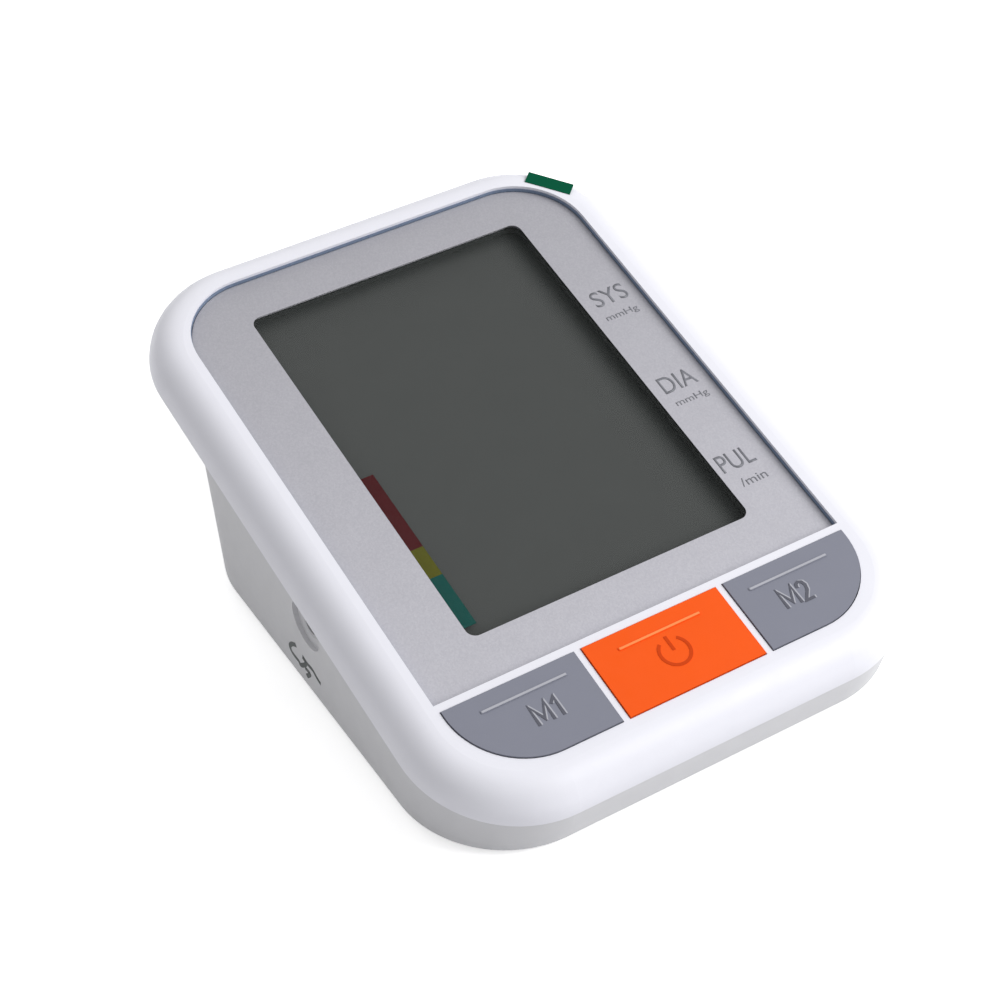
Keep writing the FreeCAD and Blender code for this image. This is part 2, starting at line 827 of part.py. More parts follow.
def make_film_pull_tab():
    """Stiff coloured tab of the protective film, which stands straight out over the rim."""
    strip = doc.addObject("Part::Box", "film_tab_strip")
    bind(strip, Length="film_tab_reach", Width="film_tab_width", Height="film_thickness")
    strip.Placement = Placement(Vector(), Rotation(Vector(0, 0, 1), 1))
    strip.setExpression("Placement.Rotation.Angle", formula("film_tab_angle"))
    start, half = "film_tab_start", "film_tab_width / 2"
    turn = "film_tab_angle"
    x = f"half_width - corner_radius + {start} * cos({turn}) + {half} * sin({turn})"
    y = f"casing_length - corner_radius + {start} * sin({turn}) - {half} * cos({turn})"
    place(strip, (x, y, 0))
    keep(group("film_tab", strip), "film_pull_tab", sloping=True)


def make_lens():
    """Clear lens panel that lies in the recess."""
    body = new_body("display_lens")
    back = "recess_corner - lens_gap"
    sketch = outline(body, "lens_outline",
                     ("-recess_width / 2 + lens_gap", "recess_front + lens_gap", "-recess_depth"),
                     "recess_width - 2 * lens_gap", "recess_length - 2 * lens_gap",
                     ("lens_front_corner", "lens_front_corner", back, back))
    pad(body, "lens_panel", sketch, "lens_thickness")
    keep(body, "display_lens", sloping=True)


# -------------------------------------------------------------------------- the display

def make_display():
    """Display glass, its coloured strip, its holder and its elastomer connector."""
    corner = ("glass_left", "glass_front", "-glass_under")
    glass = box("glass_block", corner, ("glass_width", "glass_length", "glass_thickness"))
    keep(group("glass", glass), "lcd_glass", sloping=True)

    strip = box("strip_block",
                ("window_left + strip_inset", "window_front + strip_start",
                 "-recess_depth - strip_thickness"),
                ("strip_width", "strip_length", "strip_thickness"))
    keep(group("strip", strip), "pressure_level_strip", sloping=True)

    body = new_body("lcd_holder")
    frame = outline(body, "holder_outline",
                    ("glass_left - holder_reach", "glass_front - holder_reach",
                     "-holder_under"),
                    "glass_width + 2 * holder_reach", "glass_length + 2 * holder_reach",
                    ("holder_wall",) * 4)
    pad(body, "holder_frame", frame, "holder_under - floor_under")
    for side, x in (("left", "glass_left - holder_reach"),
                    ("right", "glass_left + glass_width + holder_reach - holder_leg_width")):
        for end, shift in (("front", ""), ("back", " + holder_leg_pitch")):
            foot = outline(body, f"holder_{side}_{end}_leg_outline",
                           (x, f"glass_front + holder_leg_front{shift}", "-board_top"),
                           "holder_leg_width", "holder_leg_length")
            pad(body, f"holder_{side}_{end}_leg", foot, "board_gap + holder_lip / 2")
    seat = outline(body, "holder_seat_outline",
                   ("glass_left - holder_gap", "glass_front - holder_gap", "-floor_under"),
                   "glass_width + 2 * holder_gap", "glass_length + 2 * holder_gap")
    pocket(body, "holder_seat", seat, "glass_thickness")
    hole = outline(body, "holder_hole_outline",
                   ("glass_left + holder_ledge", "glass_front + holder_ledge",
                    "-floor_under"),
                   "glass_width - 2 * holder_ledge", "glass_length - 2 * holder_ledge")
    pocket(body, "holder_hole", hole, "board_top")
    slot = outline(body, "holder_slot_outline",
                   ("window_shift - connector_length / 2 - holder_gap / 2",
                    "glass_front + connector_inset - holder_gap / 2", "-glass_under"),
                   "connector_length + holder_gap", "connector_width + holder_gap")
    pocket(body, "holder_slot", slot, "board_top")
    keep(body, "lcd_holder", sloping=True)

    connector = box("connector_block",
                    ("window_shift - connector_length / 2", "glass_front + connector_inset",
                     "-board_top"),
                    ("connector_length", "connector_width", "board_top - glass_under"))
    keep(group("connector", connector), "lcd_connector_strip", sloping=True)


# ----------------------------------------------------------------------------- the keys

def make_key(name, key):
    """Hollow key cap with its post, two retaining tabs and a raised rib."""
    body = new_body(name + "_key")
    cap = outline(body, f"{name}_cap_outline", (key["left"], "margin_front", "-key_under"),
                  key["width"], "key_length", key["radii"])
    pad(body, f"{name}_cap", cap, "key_under + key_proud")
    inner = outline(body, f"{name}_hollow_outline",
                    (f"{key['left']} + key_wall", "margin_front + key_wall",
                     "key_proud - key_skin"),
                    f"{key['width']} - 2 * key_wall", "key_length - 2 * key_wall",
                    wider(key["radii"], "- 2 * key_wall"))
    pocket(body, f"{name}_hollow", inner, "key_under + key_proud - key_skin")
    middle = "margin_front + key_length / 2"
    post = disc(body, f"{name}_post_disc", (key_centre(key), middle, "-stem_top"),
                "key_post_radius")
    pad(body, f"{name}_post", post, "stem_top + key_proud - key_skin / 2")
    front = outline(body, f"{name}_front_tab_outline",
                    (key["tab"], "margin_front - key_tab_reach",
                     "-key_front_tab_top - key_tab_thickness"),
                    "key_tab_width", "key_tab_reach + key_wall / 2")
    pad(body, f"{name}_front_tab", front, "key_tab_thickness")
    back = outline(body, f"{name}_back_tab_outline",
                   (key["tab"], "margin_front + key_length - key_wall / 2", "-key_under"),
                   "key_tab_width", "key_wall / 2 + key_bar + key_tab_reach / 2")
    pad(body, f"{name}_back_tab", back, "key_tab_thickness")
    rib = outline(body, f"{name}_rib_outline",
                  (f"{key['rib']} - key_rib_length / 2",
                   "margin_front + key_length - key_rib_setback - key_rib_width",
                   "key_proud - key_skin / 2"),
                  "key_rib_length", "key_rib_width", ("key_rib_width / 3",) * 4)
    pad(body, f"{name}_rib", rib, "key_skin / 2 + key_rib_height")
    keep(body, name + "_key", sloping=True)

    stem = rod(name + "_stem", (key_centre(key), middle, "-switch_top - stem_depth"),
               "stem_radius", "stem_proud + stem_depth")
    keep(group(name + "_stem_group", stem), name + "_switch_stem", sloping=True)


def make_switches():
    """Housings of the three tact switches on the board, below the keys."""
    housings = []
    middle = "margin_front + key_length / 2"
    for name, key in KEYS.items():
        centre = key_centre(key)
        block = box(f"{name}_switch_block",
                    (f"{centre} - switch_size / 2", f"{middle} - switch_size / 2",
                     "-board_top"),
                    ("switch_size", "switch_size", "switch_height"))
        bore = rod(f"{name}_switch_bore", (centre, middle, "-switch_top - stem_bore_depth"),
                   "stem_radius + stem_clearance", "2 * stem_bore_depth")
        housings.append(cut(f"{name}_switch", block, bore))
    keep(group("switches", *housings), "tact_switches", sloping=True)


# -------------------------------------------------------------------- the circuit board

def make_board():
    """Circuit board with its screws and the larger parts soldered under it."""
    body = new_body("circuit_board")
    sheet_outline = outline(body, "board_outline", ("-board_width / 2", "board_front",
                                                    "-board_under"),
                            "board_width", "board_length",
                            ("board_corner", "board_corner", None, None))
    pad(body, "board_sheet", sheet_outline, "board_thickness")
    for place_name, x, y in POSTS:
        circle = disc(body, f"{place_name}_board_hole_disc", (x, y, "-board_top"),
                      "board_screw_radius + board_hole_clearance")
        pocket(body, f"{place_name}_board_hole", circle, "board_thickness")
    keep(body, "circuit_board", sloping=True)

    screws = []
    for place_name, x, y in POSTS:
        head = rod(f"{place_name}_board_head", (x, y, "-board_under - board_screw_head_height"),
                   "board_screw_head", "board_screw_head_height")
        shank = rod(f"{place_name}_board_shank", (x, y, "-board_under - screw_clearance"),
                    "board_screw_radius", "board_thickness + board_screw_grip")
        screws.append(join(f"{place_name}_board_screw", head, shank))
    keep(group("board_screw_group", *screws), "board_screws", sloping=True)

    chip = box("chip_block",
               ("chip_x - chip_size / 2", "chip_setback - chip_size / 2",
                "-board_under - chip_height"),
               ("chip_size", "chip_size", "chip_height"))
    keep(group("chip", chip), "microcontroller", sloping=True)

    can = rod("buzzer_can", ("buzzer_x", "buzzer_setback", "-board_under - buzzer_height"),
              "buzzer_radius", "buzzer_height")
    vent = rod("buzzer_vent", ("buzzer_x", "buzzer_setback", "-board_under - buzzer_height"),
               "buzzer_vent_radius", "buzzer_height / 3")
    keep(cut("buzzer_shape", can, vent), "buzzer", sloping=True)

    capacitor = rod("capacitor_can",
                    ("capacitor_x", "capacitor_setback", "-board_under - capacitor_height"),
                    "capacitor_radius", "capacitor_height")
    keep(group("capacitor", capacitor), "supply_capacitor", sloping=True)

    header = box("header_block",
                 ("header_x - header_width / 2", "header_setback",
                  "-board_under - header_height"),
                 ("header_width", "header_length", "header_height"))
    keep(group("header", header), "wire_header", sloping=True)

    cube = box("sensor_block",
               ("sensor_x - sensor_size / 2", "sensor_setback - sensor_size / 2",
                "-board_under - sensor_height"),
               ("sensor_size", "sensor_size", "sensor_height"))
    nose_length = "port_length + sensor_height / 2"
    nose_end = "-board_under - sensor_height - port_length"
    nose = rod("sensor_nose", ("sensor_x", "sensor_setback", nose_end), "port_radius",
               nose_length)
    bore = rod("sensor_bore", ("sensor_x", "sensor_setback", nose_end), "port_bore", nose_length)
    keep(cut("sensor_shape", join("sensor_solid", cube, nose), bore), "pressure_sensor",
         sloping=True)


# --------------------------------------------------------------------- the lower casing

def shave(body, name, axis, turn, point, side):
    """Cut away all of a body that lies beyond a plane.

    The plane holds the point and leans by the formula turn about X or Y. side is "low" or
    "high" for an upright plane, or "below" for one that lies flat.
    """
    size = "4 * casing_length"
    share_across, share_up = {"low": (1, 0.5), "high": (0, 0.5), "below": (0.5, 1)}[side]
    block = body.newObject("PartDesign::SubtractiveBox", name)
    bind(block, Length=size, Width=size, Height=size)
    about_x = axis == "X"
    block.Placement = Placement(Vector(), Rotation(Vector(about_x, not about_x, 0), 1))
    block.setExpression("Placement.Rotation.Angle", formula(turn))
    lean = -1 if about_x else 1
    across = f"- {share_across} * {size} * cos({turn}) - {lean} * {share_up} * {size} * sin({turn})"
    rise = f"- {share_up} * {size} * cos({turn}) + {lean} * {share_across} * {size} * sin({turn})"
    x, y, z = point
    if about_x:
        place(block, (f"{x} - {size} / 2", f"{y} {across}", f"{z} {rise}"))
    else:
        place(block, (f"{x} {across}", f"{y} - {size} / 2", f"{z} {rise}"))
    doc.recompute()


def make_wedge(name, inset, floor):
    """Wedge below the seam: drafted walls, cut off by a back wall and the table plane.

    inset moves every wall inwards and floor lifts the underside.
    """
    body = new_body(name)
    sketch = outline(body, name + "_outline", ("-half_width", "0", "-seam_depth - casing_length"),
                     "casing_width", "casing_length")
    pad(body, name + "_block", sketch, "casing_length")
    front = f"lower_inset + {inset}"
    left = f"-half_width + lower_inset + {inset}"
    right = f"half_width - lower_inset - {inset}"
    back = f"lower_reach - {inset}"
    top = "-seam_depth"
    shave(body, name + "_front", "X", "lower_draft", ("0", front, top), "low")
    shave(body, name + "_left", "Y", "-lower_draft", (left, "0", top), "low")
    shave(body, name + "_right", "Y", "lower_draft", (right, "0", top), "high")
    shave(body, name + "_back", "X", "-(face_tilt + lower_draft)", ("0", back, top), "high")
    shave(body, name + "_table", "X", "-face_tilt",
          ("0", f"table_origin_y + {floor} * sin(face_tilt)",
           f"table_origin_z + {floor} * cos(face_tilt)"), "below")
    round_edges(body, name + "_corners", body.Tip, is_corner_edge, f"lower_corner - {inset}")
    return body


def make_lower_shell():
    """Wedge-shaped shell, open at the seam."""
    outer = make_wedge("wedge", "0", "0")
    round_edges(outer, "bottom_edge", outer.Tip, is_on_table, "bottom_edge_radius")
    inner = make_wedge("wedge_room", "lower_wall", "lower_wall")
    return on_face(cut("lower_shell", outer, inner))


def is_corner_edge(edge):
    """True for the four slanting corner edges of the wedge."""
    ends = [vertex.Point for vertex in edge.Vertexes]
    if len(ends) < 2:
        return False
    drop = abs(ends[0].z - ends[1].z)
    across = abs(ends[0].x - ends[1].x)
    top = max(point.z for point in ends)
    return drop > 3.0 and across < drop / 5 and abs(top + number("seam_depth")) < 1e-3


def is_on_table(edge):
    """True for edges of the wedge's outline on its underside."""
    tilt = math.radians(number("face_tilt"))
    rise = Vector(0, math.sin(tilt), math.cos(tilt))
    level = number("foot_stand - rim_front_height")
    first, last = edge.FirstParameter, edge.LastParameter
    points = [edge.valueAt(place) for place in (first, (first + last) / 2, last)]
    return all(abs(point.dot(rise) - level) < 1e-3 for point in points)


def make_lip():
    """Lip that the upper casing closes over, with the shelf under the overhang."""
    ring = new_body("lip")
    outer_radius = "corner_radius - lip_inset"
    inner_radius = "corner_radius - lip_inner_inset"
    outer = outline(ring, "lip_outline",
                    ("-half_width + lip_inset", "lip_inset", "-seam_depth - lip_root"),
                    "casing_width - 2 * lip_inset", "casing_length - 2 * lip_inset",
                    (outer_radius,) * 4)
    pad(ring, "lip_block", outer, "lip_root + lip_height")
    inner = outline(ring, "lip_hole_outline",
                    ("-half_width + lip_inner_inset", "lip_inner_inset",
                     "lip_height - seam_depth"),
                    "casing_width - 2 * lip_inner_inset", "casing_length - 2 * lip_inner_inset",
                    (inner_radius,) * 4)
    pocket(ring, "lip_hole", inner, "lip_root + lip_height")

    shelf = new_body("shelf")
    plate = outline(shelf, "shelf_outline",
                    ("-half_width + lip_inset", "lip_inset", "-seam_depth - shelf_thickness"),
                    "casing_width - 2 * lip_inset", "casing_length - 2 * lip_inset",
                    (outer_radius,) * 4)
    plate_pad = pad(shelf, "shelf_plate", plate, "shelf_thickness")
    under = at_height(number("-seam_depth - shelf_thickness"))
    round_edges(shelf, "shelf_edge", plate_pad, under, "shelf_edge_radius")
    for side, x in BACK_BOSSES:
        circle = disc(shelf, f"shelf_{side}_boss_disc", (x, "boss_back", "-shelf_boss_depth"),
                      "lower_boss_radius")
        pad(shelf, f"shelf_{side}_boss", circle, "shelf_boss_depth - seam_depth")
    front = outline(shelf, "shelf_front_cut_outline",
                    ("-half_width", 0, 0), "casing_width", "lower_reach - lower_wall")
    pocket(shelf, "shelf_front_cut", front, "casing_length")
    return [on_face(ring), on_face(shelf)]


def make_lower_casing():
    """Lower shell with the battery box, pump cradle, bosses and every opening."""
    parts = [make_lower_shell()] + make_lip()
    root_z = "base_top - box_root"
    parts.append(box("battery_box",
                     ("box_left", "box_front_y", root_z),
                     ("bay_width + 2 * box_wall", "bay_length + 2 * box_wall",
                      f"box_top - ({root_z})")))
    latch_top = "foot_stand + door_thickness / 2 + latch_height + latch_room"
    parts.append(box("latch_housing",
                     ("door_x - latch_width / 2 - latch_room - box_wall", "bay_back_y",
                      root_z),
                     ("latch_width + 2 * (latch_room + box_wall)",
                      "latch_reach + latch_room + box_wall",
                      f"{latch_top} + box_wall - ({root_z})")))
    for rank, shift in enumerate(("0", "cradle_pitch")):
        parts.append(box(f"cradle_rib_{rank}",
                         ("pump_x - pump_radius", f"head_front_y + cradle_front + {shift}",
                          root_z),
                         ("box_left - pump_x + pump_radius + box_wall / 2",
                          "cradle_thickness", "box_root + cradle_height")))
    tilt_cos, tilt_tan = "cos(face_tilt)", "tan(face_tilt)"
    floor_depth = f"(rim_front_height - foot_stand) / {tilt_cos} + boss_front * {tilt_tan}"
    for side, x in FRONT_BOSSES:
        boss = rod(f"lower_{side}_boss", (x, "boss_front", f"-({floor_depth}) + lower_wall / 2"),
                   "lower_boss_radius",
                   f"{floor_depth} - lower_wall / 2 - boss_joint_depth")
        parts.append(on_face(group(f"lower_{side}_boss_group", boss)))
    solid = join("lower_solid", *parts)

    tools = [box("battery_bay", ("bay_left", "bay_front_y", "-foot_stand"),
                 ("bay_width", "bay_length", "bay_top + foot_stand"))]
    tools.append(box("latch_pocket",
                     ("door_x - latch_width / 2 - latch_room", "bay_back_y - latch_room",
                      "-foot_stand"),
                     ("latch_width + 2 * latch_room", "latch_reach + 2 * latch_room",
                      f"{latch_top} + foot_stand")))
    tools.append(rod("cradle_hollow",
                     ("pump_x", "head_front_y - cradle_thickness", "pump_z"),
                     "pump_radius + pump_rest", "head_length + motor_length", "Y"))
    for side, x in FRONT_BOSSES:
        seat = "-(boss_joint_depth + boss_web)"
        hole = rod(f"lower_{side}_screw_hole", (x, "boss_front", seat),
                   "screw_radius + 2 * screw_clearance + lip_gap", "boss_web + seam_depth")
        well = rod(f"lower_{side}_screw_well", (x, "boss_front", f"{seat} - {floor_depth}"),
                   "screw_head_radius + head_clearance", floor_depth)
        tools.append(on_face(group(f"lower_{side}_screw_space", hole, well)))
    for side, x in BACK_BOSSES:
        seat = "-(seam_depth + shelf_web)"
        hole = rod(f"shelf_{side}_screw_hole", (x, "boss_back", seat),
                   "screw_radius + 2 * screw_clearance + lip_gap", "shelf_web + lip_height")
        well = rod(f"shelf_{side}_screw_well", (x, "boss_back", f"{seat} - seam_depth"),
                   "screw_head_radius + head_clearance", "seam_depth")
        tools.append(on_face(group(f"shelf_{side}_screw_space", hole, well)))
    for name, (x, y) in FEET.items():
        tools.append(rod(f"{name}_foot_recess", (x, y, "-foot_thickness"),
                         "foot_radius + foot_gap", "2 * foot_thickness"))
    for side, shift in HOOKS:
        tools.append(box(f"{side}_hook_slot",
                         (f"door_x {shift} - hook_width / 2 - hook_slot_gap",
                          "bay_front_y - hook_reach - hook_slot_gap", "base_top"),
                         ("hook_width + 2 * hook_slot_gap",
                          "hook_reach + 2 * hook_slot_gap",
                          "hook_lift + hook_thickness + hook_swing")))
    for name, x in BOARD_CONTACTS:
        tools.append(box(f"{name}_contact_slot",
                         (f"{x} - contact_tab_width / 2 - contact_slot_gap",
                          "bay_front_y", "bay_top - cell_gap"),
                         ("contact_tab_width + 2 * contact_slot_gap",
                          "contact_thickness + contact_slot_gap", "box_wall + 2 * cell_gap")))
    tools.append(rod("socket_recess", ("-socket_face_x - socket_length", "socket_y",
                                       "socket_z"),
                     "socket_recess_radius", "socket_length", "X"))
    tools.append(rod("socket_hole", ("-half_width", "socket_y", "socket_z"),
                     "socket_radius + socket_fit", "lower_inset + 3 * lower_wall", "X"))
    tools.append(rod("jack_hole", ("jack_face_x - 2 * lower_wall", "jack_y", "jack_z"),
                     "jack_barrel_radius + jack_fit", "4 * lower_wall", "X"))
    keep(cut("lower_casing_shape", solid, *tools), "lower_casing")


# ------------------------------------------------------------ feet, screws, battery bay

FEET = {
    "front_left": ("-half_width + foot_front_side_inset", "rim_y + foot_front_inset"),
    "front_right": ("half_width - foot_front_side_inset", "rim_y + foot_front_inset"),
    "back_left": ("-half_width + foot_side_inset", "back_foot_y - foot_back_inset"),
    "back_right": ("half_width - foot_side_inset", "back_foot_y - foot_back_inset"),
}
HOOKS = [("left", "- hook_pitch / 2"), ("right", "+ hook_pitch / 2")]
BOARD_CONTACTS = [
    ("first", "bay_left + bay_side_gap + cell_pitch / 2"),
    ("last", "bay_right - bay_side_gap - cell_pitch / 2"),
]


def cell_x(rank):
    """Formula of the x of a cell's axis, counted from the left."""
    return f"(bay_left + bay_side_gap + cell_pitch * ({rank} + 0.5))"


def make_feet():
    """Four rubber feet pressed into the underside."""
    pads = [rod(f"{name}_foot", (x, y, 0), "foot_radius", "foot_thickness")
            for name, (x, y) in FEET.items()]
    keep(group("feet", *pads), "rubber_feet")


def make_casing_screws():
    """Four self-tapping screws that hold the casings together."""
    screws = []
    places = [("front_" + side, x, "boss_front", "boss_joint_depth + boss_web",
               "boss_web") for side, x in FRONT_BOSSES]
    places += [("back_" + side, x, "boss_back", "seam_depth + shelf_web",
                "shelf_web") for side, x in BACK_BOSSES]
    for name, x, y, seat, web in places:
        head = rod(f"{name}_screw_head", (x, y, f"-({seat}) - screw_head_height"),
                   "screw_head_radius", "screw_head_height")
        shank = rod(f"{name}_screw_shank", (x, y, f"-({seat}) - screw_head_height / 2"),
                    "screw_radius", f"screw_head_height / 2 + {web} + screw_bite")
        screws.append(join(f"{name}_screw", head, shank))
    keep(group("casing_screw_group", *screws), "casing_screws", sloping=True)


def make_cells():
    """Four AA cells side by side, turned end for end."""
    cells = []
    for rank in range(4):
        x = cell_x(rank)
        flipped = rank % 2 == 1
        body_start = "cell_front_y + cell_button_height" if not flipped else (
            "cell_front_y + spring_length")
        button_start = "cell_front_y" if not flipped else (
            "cell_front_y + spring_length + cell_length")
        can = rod(f"cell_{rank}_can", (x, body_start, "cell_z"), "cell_diameter / 2",
                  "cell_length", "Y")
        button = rod(f"cell_{rank}_button", (x, button_start, "cell_z"),
                     "cell_button_radius", "cell_button_height", "Y")
        cells.append(join(f"cell_{rank}", can, button))
    keep(group("cells", *cells), "aa_cells")


def make_battery_contacts():
    """Contact plates at both ends of the bay, two of them with a tab to the board."""
    plates = []
    half = "contact_size / 2"
    foot = "cell_z - contact_size / 2"
    pair_width = "cell_pitch + contact_size"
    back = "bay_back_y - contact_thickness"
    rows = [("front_first", cell_x(0), "bay_front_y", "contact_size"),
            ("front_middle", cell_x(1), "bay_front_y", pair_width),
            ("front_last", cell_x(3), "bay_front_y", "contact_size"),
            ("back_left", cell_x(0), back, pair_width),
            ("back_right", cell_x(2), back, pair_width)]
    board_z = ("rim_front_height + (bay_front_y - rim_y) * tan(face_tilt)"
               " - board_under / cos(face_tilt)")
    for name, x, y, width in rows:
        plate = box(f"{name}_plate", (f"{x} - {half}", y, foot),
                    (width, "contact_thickness", "contact_size"))
        if name in ("front_first", "front_last"):
            tab = box(f"{name}_tab", (f"{x} - contact_tab_width / 2", y, "cell_z"),
                      ("contact_tab_width", "contact_thickness",
                       f"{board_z} - contact_board_gap - cell_z"))
            plate = join(f"{name}_contact", plate, tab)
        plates.append(plate)
    keep(group("contacts", *plates), "battery_contacts")


def coil_turn(name, centre, radius):
    """One turn of a spring, as a ring about Y with an eight-sided section."""
    section = doc.addObject("Part::RegularPolygon", name + "_section")
    section.Polygon = 8
    bind(section, Circumradius="spring_wire")
    flat_up = Rotation(Vector(1, 0, 0), 90).multiply(Rotation(Vector(0, 0, 1), 22.5))
    place(section, (radius, "0", "0"), flat_up)
    ring = doc.addObject("Part::Revolution", name)
    ring.Source = section
    ring.Axis = Vector(0, 0, 1)
    ring.Angle = 360
    ring.Solid = True
    return place(ring, centre, TURN_TO_AXIS["Y"])


def make_battery_springs():
    """Four coil springs at the cells' flat ends, pressed nearly flat."""
    coils = []
    turns = 4
    for rank in range(4):
        flipped = rank % 2 == 1
        start = "cell_front_y" if flipped else "cell_front_y + cell_span"
        rings = []
        for turn in range(turns):
            narrower = turn if flipped else turns - 1 - turn
            step = f"(spring_length - 2 * spring_wire) * {turn} / {turns - 1}"
            centre = (cell_x(rank), f"{start} + spring_wire + {step}", "cell_z")
            rings.append(coil_turn(f"spring_{rank}_turn_{turn}", centre,
                                   f"spring_radius - {narrower} * spring_shrink"))
        coils.append(join(f"spring_{rank}", *rings))
    keep(group("springs", *coils), "battery_springs")


def make_battery_door():
    """Door with two hooks at its front, a spring tongue at its back and grip grooves."""
    plate = box("door_plate",
                ("bay_left + door_gap", "bay_front_y + door_gap", "foot_stand"),
                ("bay_width - 2 * door_gap", "bay_length - 2 * door_gap", "door_thickness"))
    parts = [plate]
    lift = "base_top + hook_lift"
    for side, shift in HOOKS:
        left = f"door_x {shift} - hook_width / 2"
        parts.append(box(f"{side}_hook_root",
                         (left, "bay_front_y + door_gap", "foot_stand + door_thickness / 2"),
                         ("hook_width", "hook_root",
                          f"{lift} + hook_thickness - foot_stand - door_thickness / 2")))
        parts.append(box(f"{side}_hook",
                         (left, "bay_front_y - hook_reach", lift),
                         ("hook_width", "hook_reach + door_gap + hook_root",
                          "hook_thickness")))
    parts.append(box("latch_tab",
                     ("door_x - latch_width / 2", "bay_back_y - door_gap - latch_thickness",
                      "foot_stand"),
                     ("latch_width", "latch_thickness + door_gap + latch_reach",
                      "door_thickness")))
    parts.append(box("latch_tongue",
                     ("door_x - latch_width / 2",
                      "bay_back_y + latch_reach - latch_thickness",
                      "foot_stand + door_thickness / 2"),
                     ("latch_width", "latch_thickness", "latch_height")))
    solid = join("door_solid", *parts)
    grooves = [box(f"grip_groove_{rank}",
                   ("door_x - grip_width / 2",
                    f"bay_back_y - door_gap - {rank + 2} * grip_pitch", "0"),
                   ("grip_width", "grip_length", "foot_stand + grip_depth"))
               for rank in range(3)]
    keep(cut("door_shape", solid, *grooves), "battery_door")


# ------------------------------------------------------------------------- the air pump

def make_pump():
    """Motor can, magnet ring, rotor with its eccentric, and the pump head."""
    start = ("pump_x", "motor_front_y", "pump_z")
    can = rod("motor_can", start, "pump_radius", "motor_length", "Y")
    hollow = rod("motor_hollow", ("pump_x", "motor_front_y + motor_wall", "pump_z"),
                 "magnet_outer", "motor_length - 2 * motor_wall", "Y")
    shaft_hole = "shaft_radius + shaft_clearance"
    front_hole = rod("motor_front_hole", start, shaft_hole, "motor_wall", "Y")
    bearing = rod("back_bearing", ("pump_x", "motor_back_y - 2.5 * motor_wall", "pump_z"),
                  "bearing_radius", "2 * motor_wall", "Y")
    bearing_hole = rod("back_bearing_hole",
                       ("pump_x", "motor_back_y - 2.5 * motor_wall", "pump_z"),
                       shaft_hole, "1.7 * motor_wall", "Y")
    terminal = box("motor_terminal",
                   ("pump_x + pump_radius - terminal_width - pump_clearance",
                    "motor_front_y + terminal_setback", "pump_z + pump_radius / 2"),
                   ("terminal_width + pump_clearance", "terminal_length",
                    "terminal_height"))
    inner = rod("terminal_trim", start, "magnet_outer", "motor_length", "Y")
    tab = cut("terminal_tab", terminal, inner)
    shell = join("motor_shell", cut("motor_empty", can, hollow), bearing, tab)
    keep(cut("motor_shape", shell, front_hole, bearing_hole), "pump_motor_can")

    ring_start = ("pump_x", "motor_front_y + magnet_end_gap", "pump_z")
    ring = rod("magnet_outer_rod", ring_start, "magnet_outer", "magnet_length", "Y")
    ring_hole = rod("magnet_inner_rod", ring_start, "magnet_inner", "magnet_length", "Y")
    keep(cut("magnet_ring_shape", ring, ring_hole), "pump_magnet_ring")

    shaft = rod("rotor_shaft",
                ("pump_x", "eccentric_back_y - eccentric_thickness - head_wall", "pump_z"),
                "shaft_radius",
                "motor_back_y - motor_wall - eccentric_back_y + eccentric_thickness + head_wall",
                "Y")
    armature = rod("rotor_armature", ring_start, "rotor_radius", "magnet_length", "Y")
    eccentric = rod("rotor_eccentric",
                    ("pump_x + eccentric_throw",
                     "eccentric_back_y - eccentric_thickness", "pump_z"),
                    "eccentric_radius", "eccentric_thickness", "Y")
    keep(join("rotor_shape", shaft, armature, eccentric), "pump_rotor")

    head = rod("head_block", ("pump_x", "head_front_y", "pump_z"), "pump_radius",
               "head_length", "Y")
    room = rod("head_room", ("pump_x", "motor_front_y - head_length / 2 - head_wall",
                             "pump_z"),
               "pump_radius - head_wall", "head_length / 2 + head_wall", "Y")
    port = rod("pump_port", ("pump_port_x", "head_front_y - port_length", "manifold_z"),
               "port_radius", "port_length + head_wall", "Y")
    port_bore = rod("pump_port_bore",
                    ("pump_port_x", "head_front_y - port_length", "manifold_z"),
                    "port_bore", "port_length + head_length / 2", "Y")
    keep(cut("pump_head_shape", join("head_solid", head, port), room, port_bore), "pump_head")


# ------------------------------------------------------------------------ the air lines

def make_air_socket():
    """Socket for the cuff's plug, with a spigot down to the manifold."""
    face = "-socket_face_x"
    body = rod("socket_body", (face, "socket_y", "socket_z"), "socket_radius",
               "socket_length", "X")
    spigot_end = "socket_z - socket_radius - spigot_length"
    spigot = rod("socket_spigot", ("manifold_x", "socket_y", spigot_end), "port_radius",
                 f"socket_z - ({spigot_end}) - socket_bore", "Z")
    bore = rod("socket_bore", (face, "socket_y", "socket_z"), "socket_bore",
               "socket_bore_length", "X")
    drill = rod("socket_drill", ("manifold_x", "socket_y", spigot_end), "port_bore",
                f"socket_z - ({spigot_end})", "Z")
    keep(cut("socket_shape", join("socket_solid", body, spigot), bore, drill), "air_socket")


def make_manifold():
    """Four-way air manifold below the socket."""
    low = ("manifold_x - manifold_half", "socket_y - manifold_half",
           "manifold_z - manifold_half")
    parts = [box("manifold_block", low, ("manifold_size",) * 3)]
    bores = []
    reach = "manifold_port_end"
    centre = ("manifold_x", "socket_y", "manifold_z")
    back_start = ("manifold_x", f"socket_y - {reach}", "manifold_z")
    for name, axis, start, length in (("up", "Z", centre, "manifold_half + spigot_length"),
                                      ("right", "X", centre, reach),
                                      ("along", "Y", back_start, f"2 * {reach}")):
        parts.append(rod(f"manifold_{name}_port", start, "port_radius", length, axis))
        bores.append(rod(f"manifold_{name}_bore", start, "port_bore", length, axis))
    keep(cut("manifold_shape", join("manifold_solid", *parts), *bores), "air_manifold")


